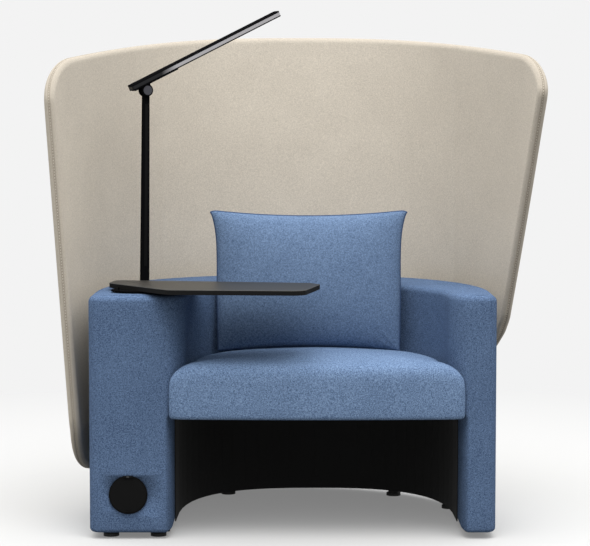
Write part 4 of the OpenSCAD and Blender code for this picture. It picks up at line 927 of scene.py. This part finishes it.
faces += [(low_hub, (i + 1) % count, i) for i in range(count)]
faces += [(last_row + i, last_row + (i + 1) % count, top_hub) for i in range(count)]
seat = make_piece("seat", points, faces, SEAT_BLUE_WITH_PAINTED_LIGHT)
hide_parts("seat_cushion")
print("seat:", len(seat.data.polygons), "faces")

# %% [markdown]
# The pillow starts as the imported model's own shape on a finer grid, a little slimmer. Its sides
# are drawn in and flare to ears at the top corners. A short cloth simulation with its rim pinned
# lets the cover swell as a stuffed cover does. Only the swelling is kept, and it never moves a
# point more than a little. A round piping follows the rim.

# %% The pillow
PILLOW_AT = Vector((32 * MM, 264 * MM, 600 * MM))
PILLOW_W, PILLOW_H, PILLOW_T = 492 * MM, 350 * MM, 128 * MM
PILLOW_LEAN = math.radians(7.5)
PILLOW_DRAW, PILLOW_TAPER, EAR_POWER = 0.07, 0.082, 4
TOP_SAG, FOOT_SAG = 0.08, 0.055
EAR_DROOP = 4 * MM
PILLOW_FULL, PILLOW_SLIM, RIM_SHARE = 0.46, 0.93, 0.02
PILLOW_COLUMNS, PILLOW_ROWS = 96, 70
PIN_REACH, PUFF_LIMIT, CLOTH_FRAMES = 4 * MM, 9 * MM, 20
CLOTH = {"vertex_group_mass": "pin", "use_pressure": True, "uniform_pressure_force": 4,
         "tension_stiffness": 40, "compression_stiffness": 12, "bending_stiffness": 0.4}
PIPING_R, PIPING_SIDES = 2.6 * MM, 10
PIPING_THROUGH = Vector((0, 1, 0.13))


def pillow_point(u, v, side):
    h = PILLOW_H / 2
    above = PILLOW_DRAW * (1 - v ** EAR_POWER)
    x = PILLOW_W / 2 * u * (1 - (above if v > 0 else mix(PILLOW_DRAW, PILLOW_TAPER, v * v)))
    z = h * v * (1 - (TOP_SAG if v > 0 else FOOT_SAG) * (1 - u * u))
    ear = clamp((abs(u) - 0.94) / 0.06) * clamp((v - 0.9) / 0.1)
    z -= EAR_DROOP * ear * ear
    belly = max((1 - u * u) * (1 - v * v), 0) ** PILLOW_FULL
    y = side * PILLOW_T / 2 * PILLOW_SLIM * mix(belly, 1, RIM_SHARE)
    return (PILLOW_AT.x + x,
            PILLOW_AT.y + y * math.cos(PILLOW_LEAN) + (z + h) * math.sin(PILLOW_LEAN),
            PILLOW_AT.z + z * math.cos(PILLOW_LEAN) - y * math.sin(PILLOW_LEAN))


def pillow_mesh(columns, rows):
    points, faces = [], []
    for side in (-1, 1):
        start = len(points)
        for j in range(rows + 1):
            for i in range(columns + 1):
                u, v = (math.sin(math.radians(90 * (2 * a / n - 1)))
                        for a, n in ((i, columns), (j, rows)))
                points.append(pillow_point(u, v, side))
        for j in range(rows):
            for i in range(columns):
                a = start + j * (columns + 1) + i
                quad = (a, a + 1, a + columns + 2, a + columns + 1)
                faces.append(quad if side < 0 else quad[::-1])
    n, total = columns + 1, (columns + 1) * (rows + 1)
    rim = list(range(n)) + [j * n + n - 1 for j in range(1, rows + 1)]
    rim += [rows * n + i for i in range(n - 2, -1, -1)]
    rim += [j * n for j in range(rows - 1, 0, -1)]
    for a, b in zip(rim, rim[1:] + rim[:1]):
        faces.append((a, a + total, b + total, b))
    return points, faces, rim


def swell(piece, rim_points):
    rest = [v.co.copy() for v in piece.data.vertices]
    pinned = [v.index for v in piece.data.vertices
              if min((v.co - p).length for p in rim_points) < PIN_REACH]
    piece.vertex_groups.new(name="pin").add(pinned, 1.0, "REPLACE")
    cloth = piece.modifiers.new("cloth", "CLOTH")
    cloth.settings.effector_weights.gravity = 0
    for key, setting in CLOTH.items():
        setattr(cloth.settings, key, setting)
    for number in range(1, CLOTH_FRAMES + 1):
        bpy.context.scene.frame_set(number)
    graph = bpy.context.evaluated_depsgraph_get()
    puffed = bpy.data.meshes.new_from_object(piece.evaluated_get(graph))
    piece.modifiers.remove(cloth)
    bpy.context.scene.frame_set(1)
    for vertex, swollen, start in zip(piece.data.vertices, puffed.vertices, rest):
        move = swollen.co - start
        kept = move if move.length < PUFF_LIMIT else move.normalized() * PUFF_LIMIT
        vertex.co = start + kept
    bpy.data.meshes.remove(puffed)
    piece.vertex_groups.clear()


points, faces, rim = pillow_mesh(PILLOW_COLUMNS, PILLOW_ROWS)
pillow = make_piece("pillow_cover", points, faces, PILLOW_BLUE, "pillow")
swell(pillow, [Vector((points[i][0], points[i][1] + FRONT_Y, points[i][2])) for i in rim])
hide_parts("pillow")


def tube(path, radius, sides):
    points, faces = [], []
    total = len(path)
    for k, here in enumerate(path):
        ahead = (path[(k + 1) % total] - path[k - 1]).normalized()
        side = ahead.cross(PIPING_THROUGH).normalized()
        up = side.cross(ahead)
        for a in range(sides):
            t = 2 * math.pi * a / sides
            points.append(here + (side * math.cos(t) + up * math.sin(t)) * radius)
    for k in range(total):
        for a in range(sides):
            b, c = (a + 1) % sides, ((k + 1) % total) * sides
            faces.append((k * sides + a, k * sides + b, c + b, c + a))
    return points, faces


half = len(points) // 2
piping_path = [(Vector(points[i]) + Vector(points[i + half])) / 2 for i in rim]
piping = make_piece("pillow_piping", *tube(piping_path, PIPING_R, PIPING_SIDES), PIPING, "pillow")
print("pillow:", len(pillow.data.polygons), "faces, piping", round(sum(
    (a - b).length for a, b in zip(piping_path, piping_path[1:])), 2), "m long")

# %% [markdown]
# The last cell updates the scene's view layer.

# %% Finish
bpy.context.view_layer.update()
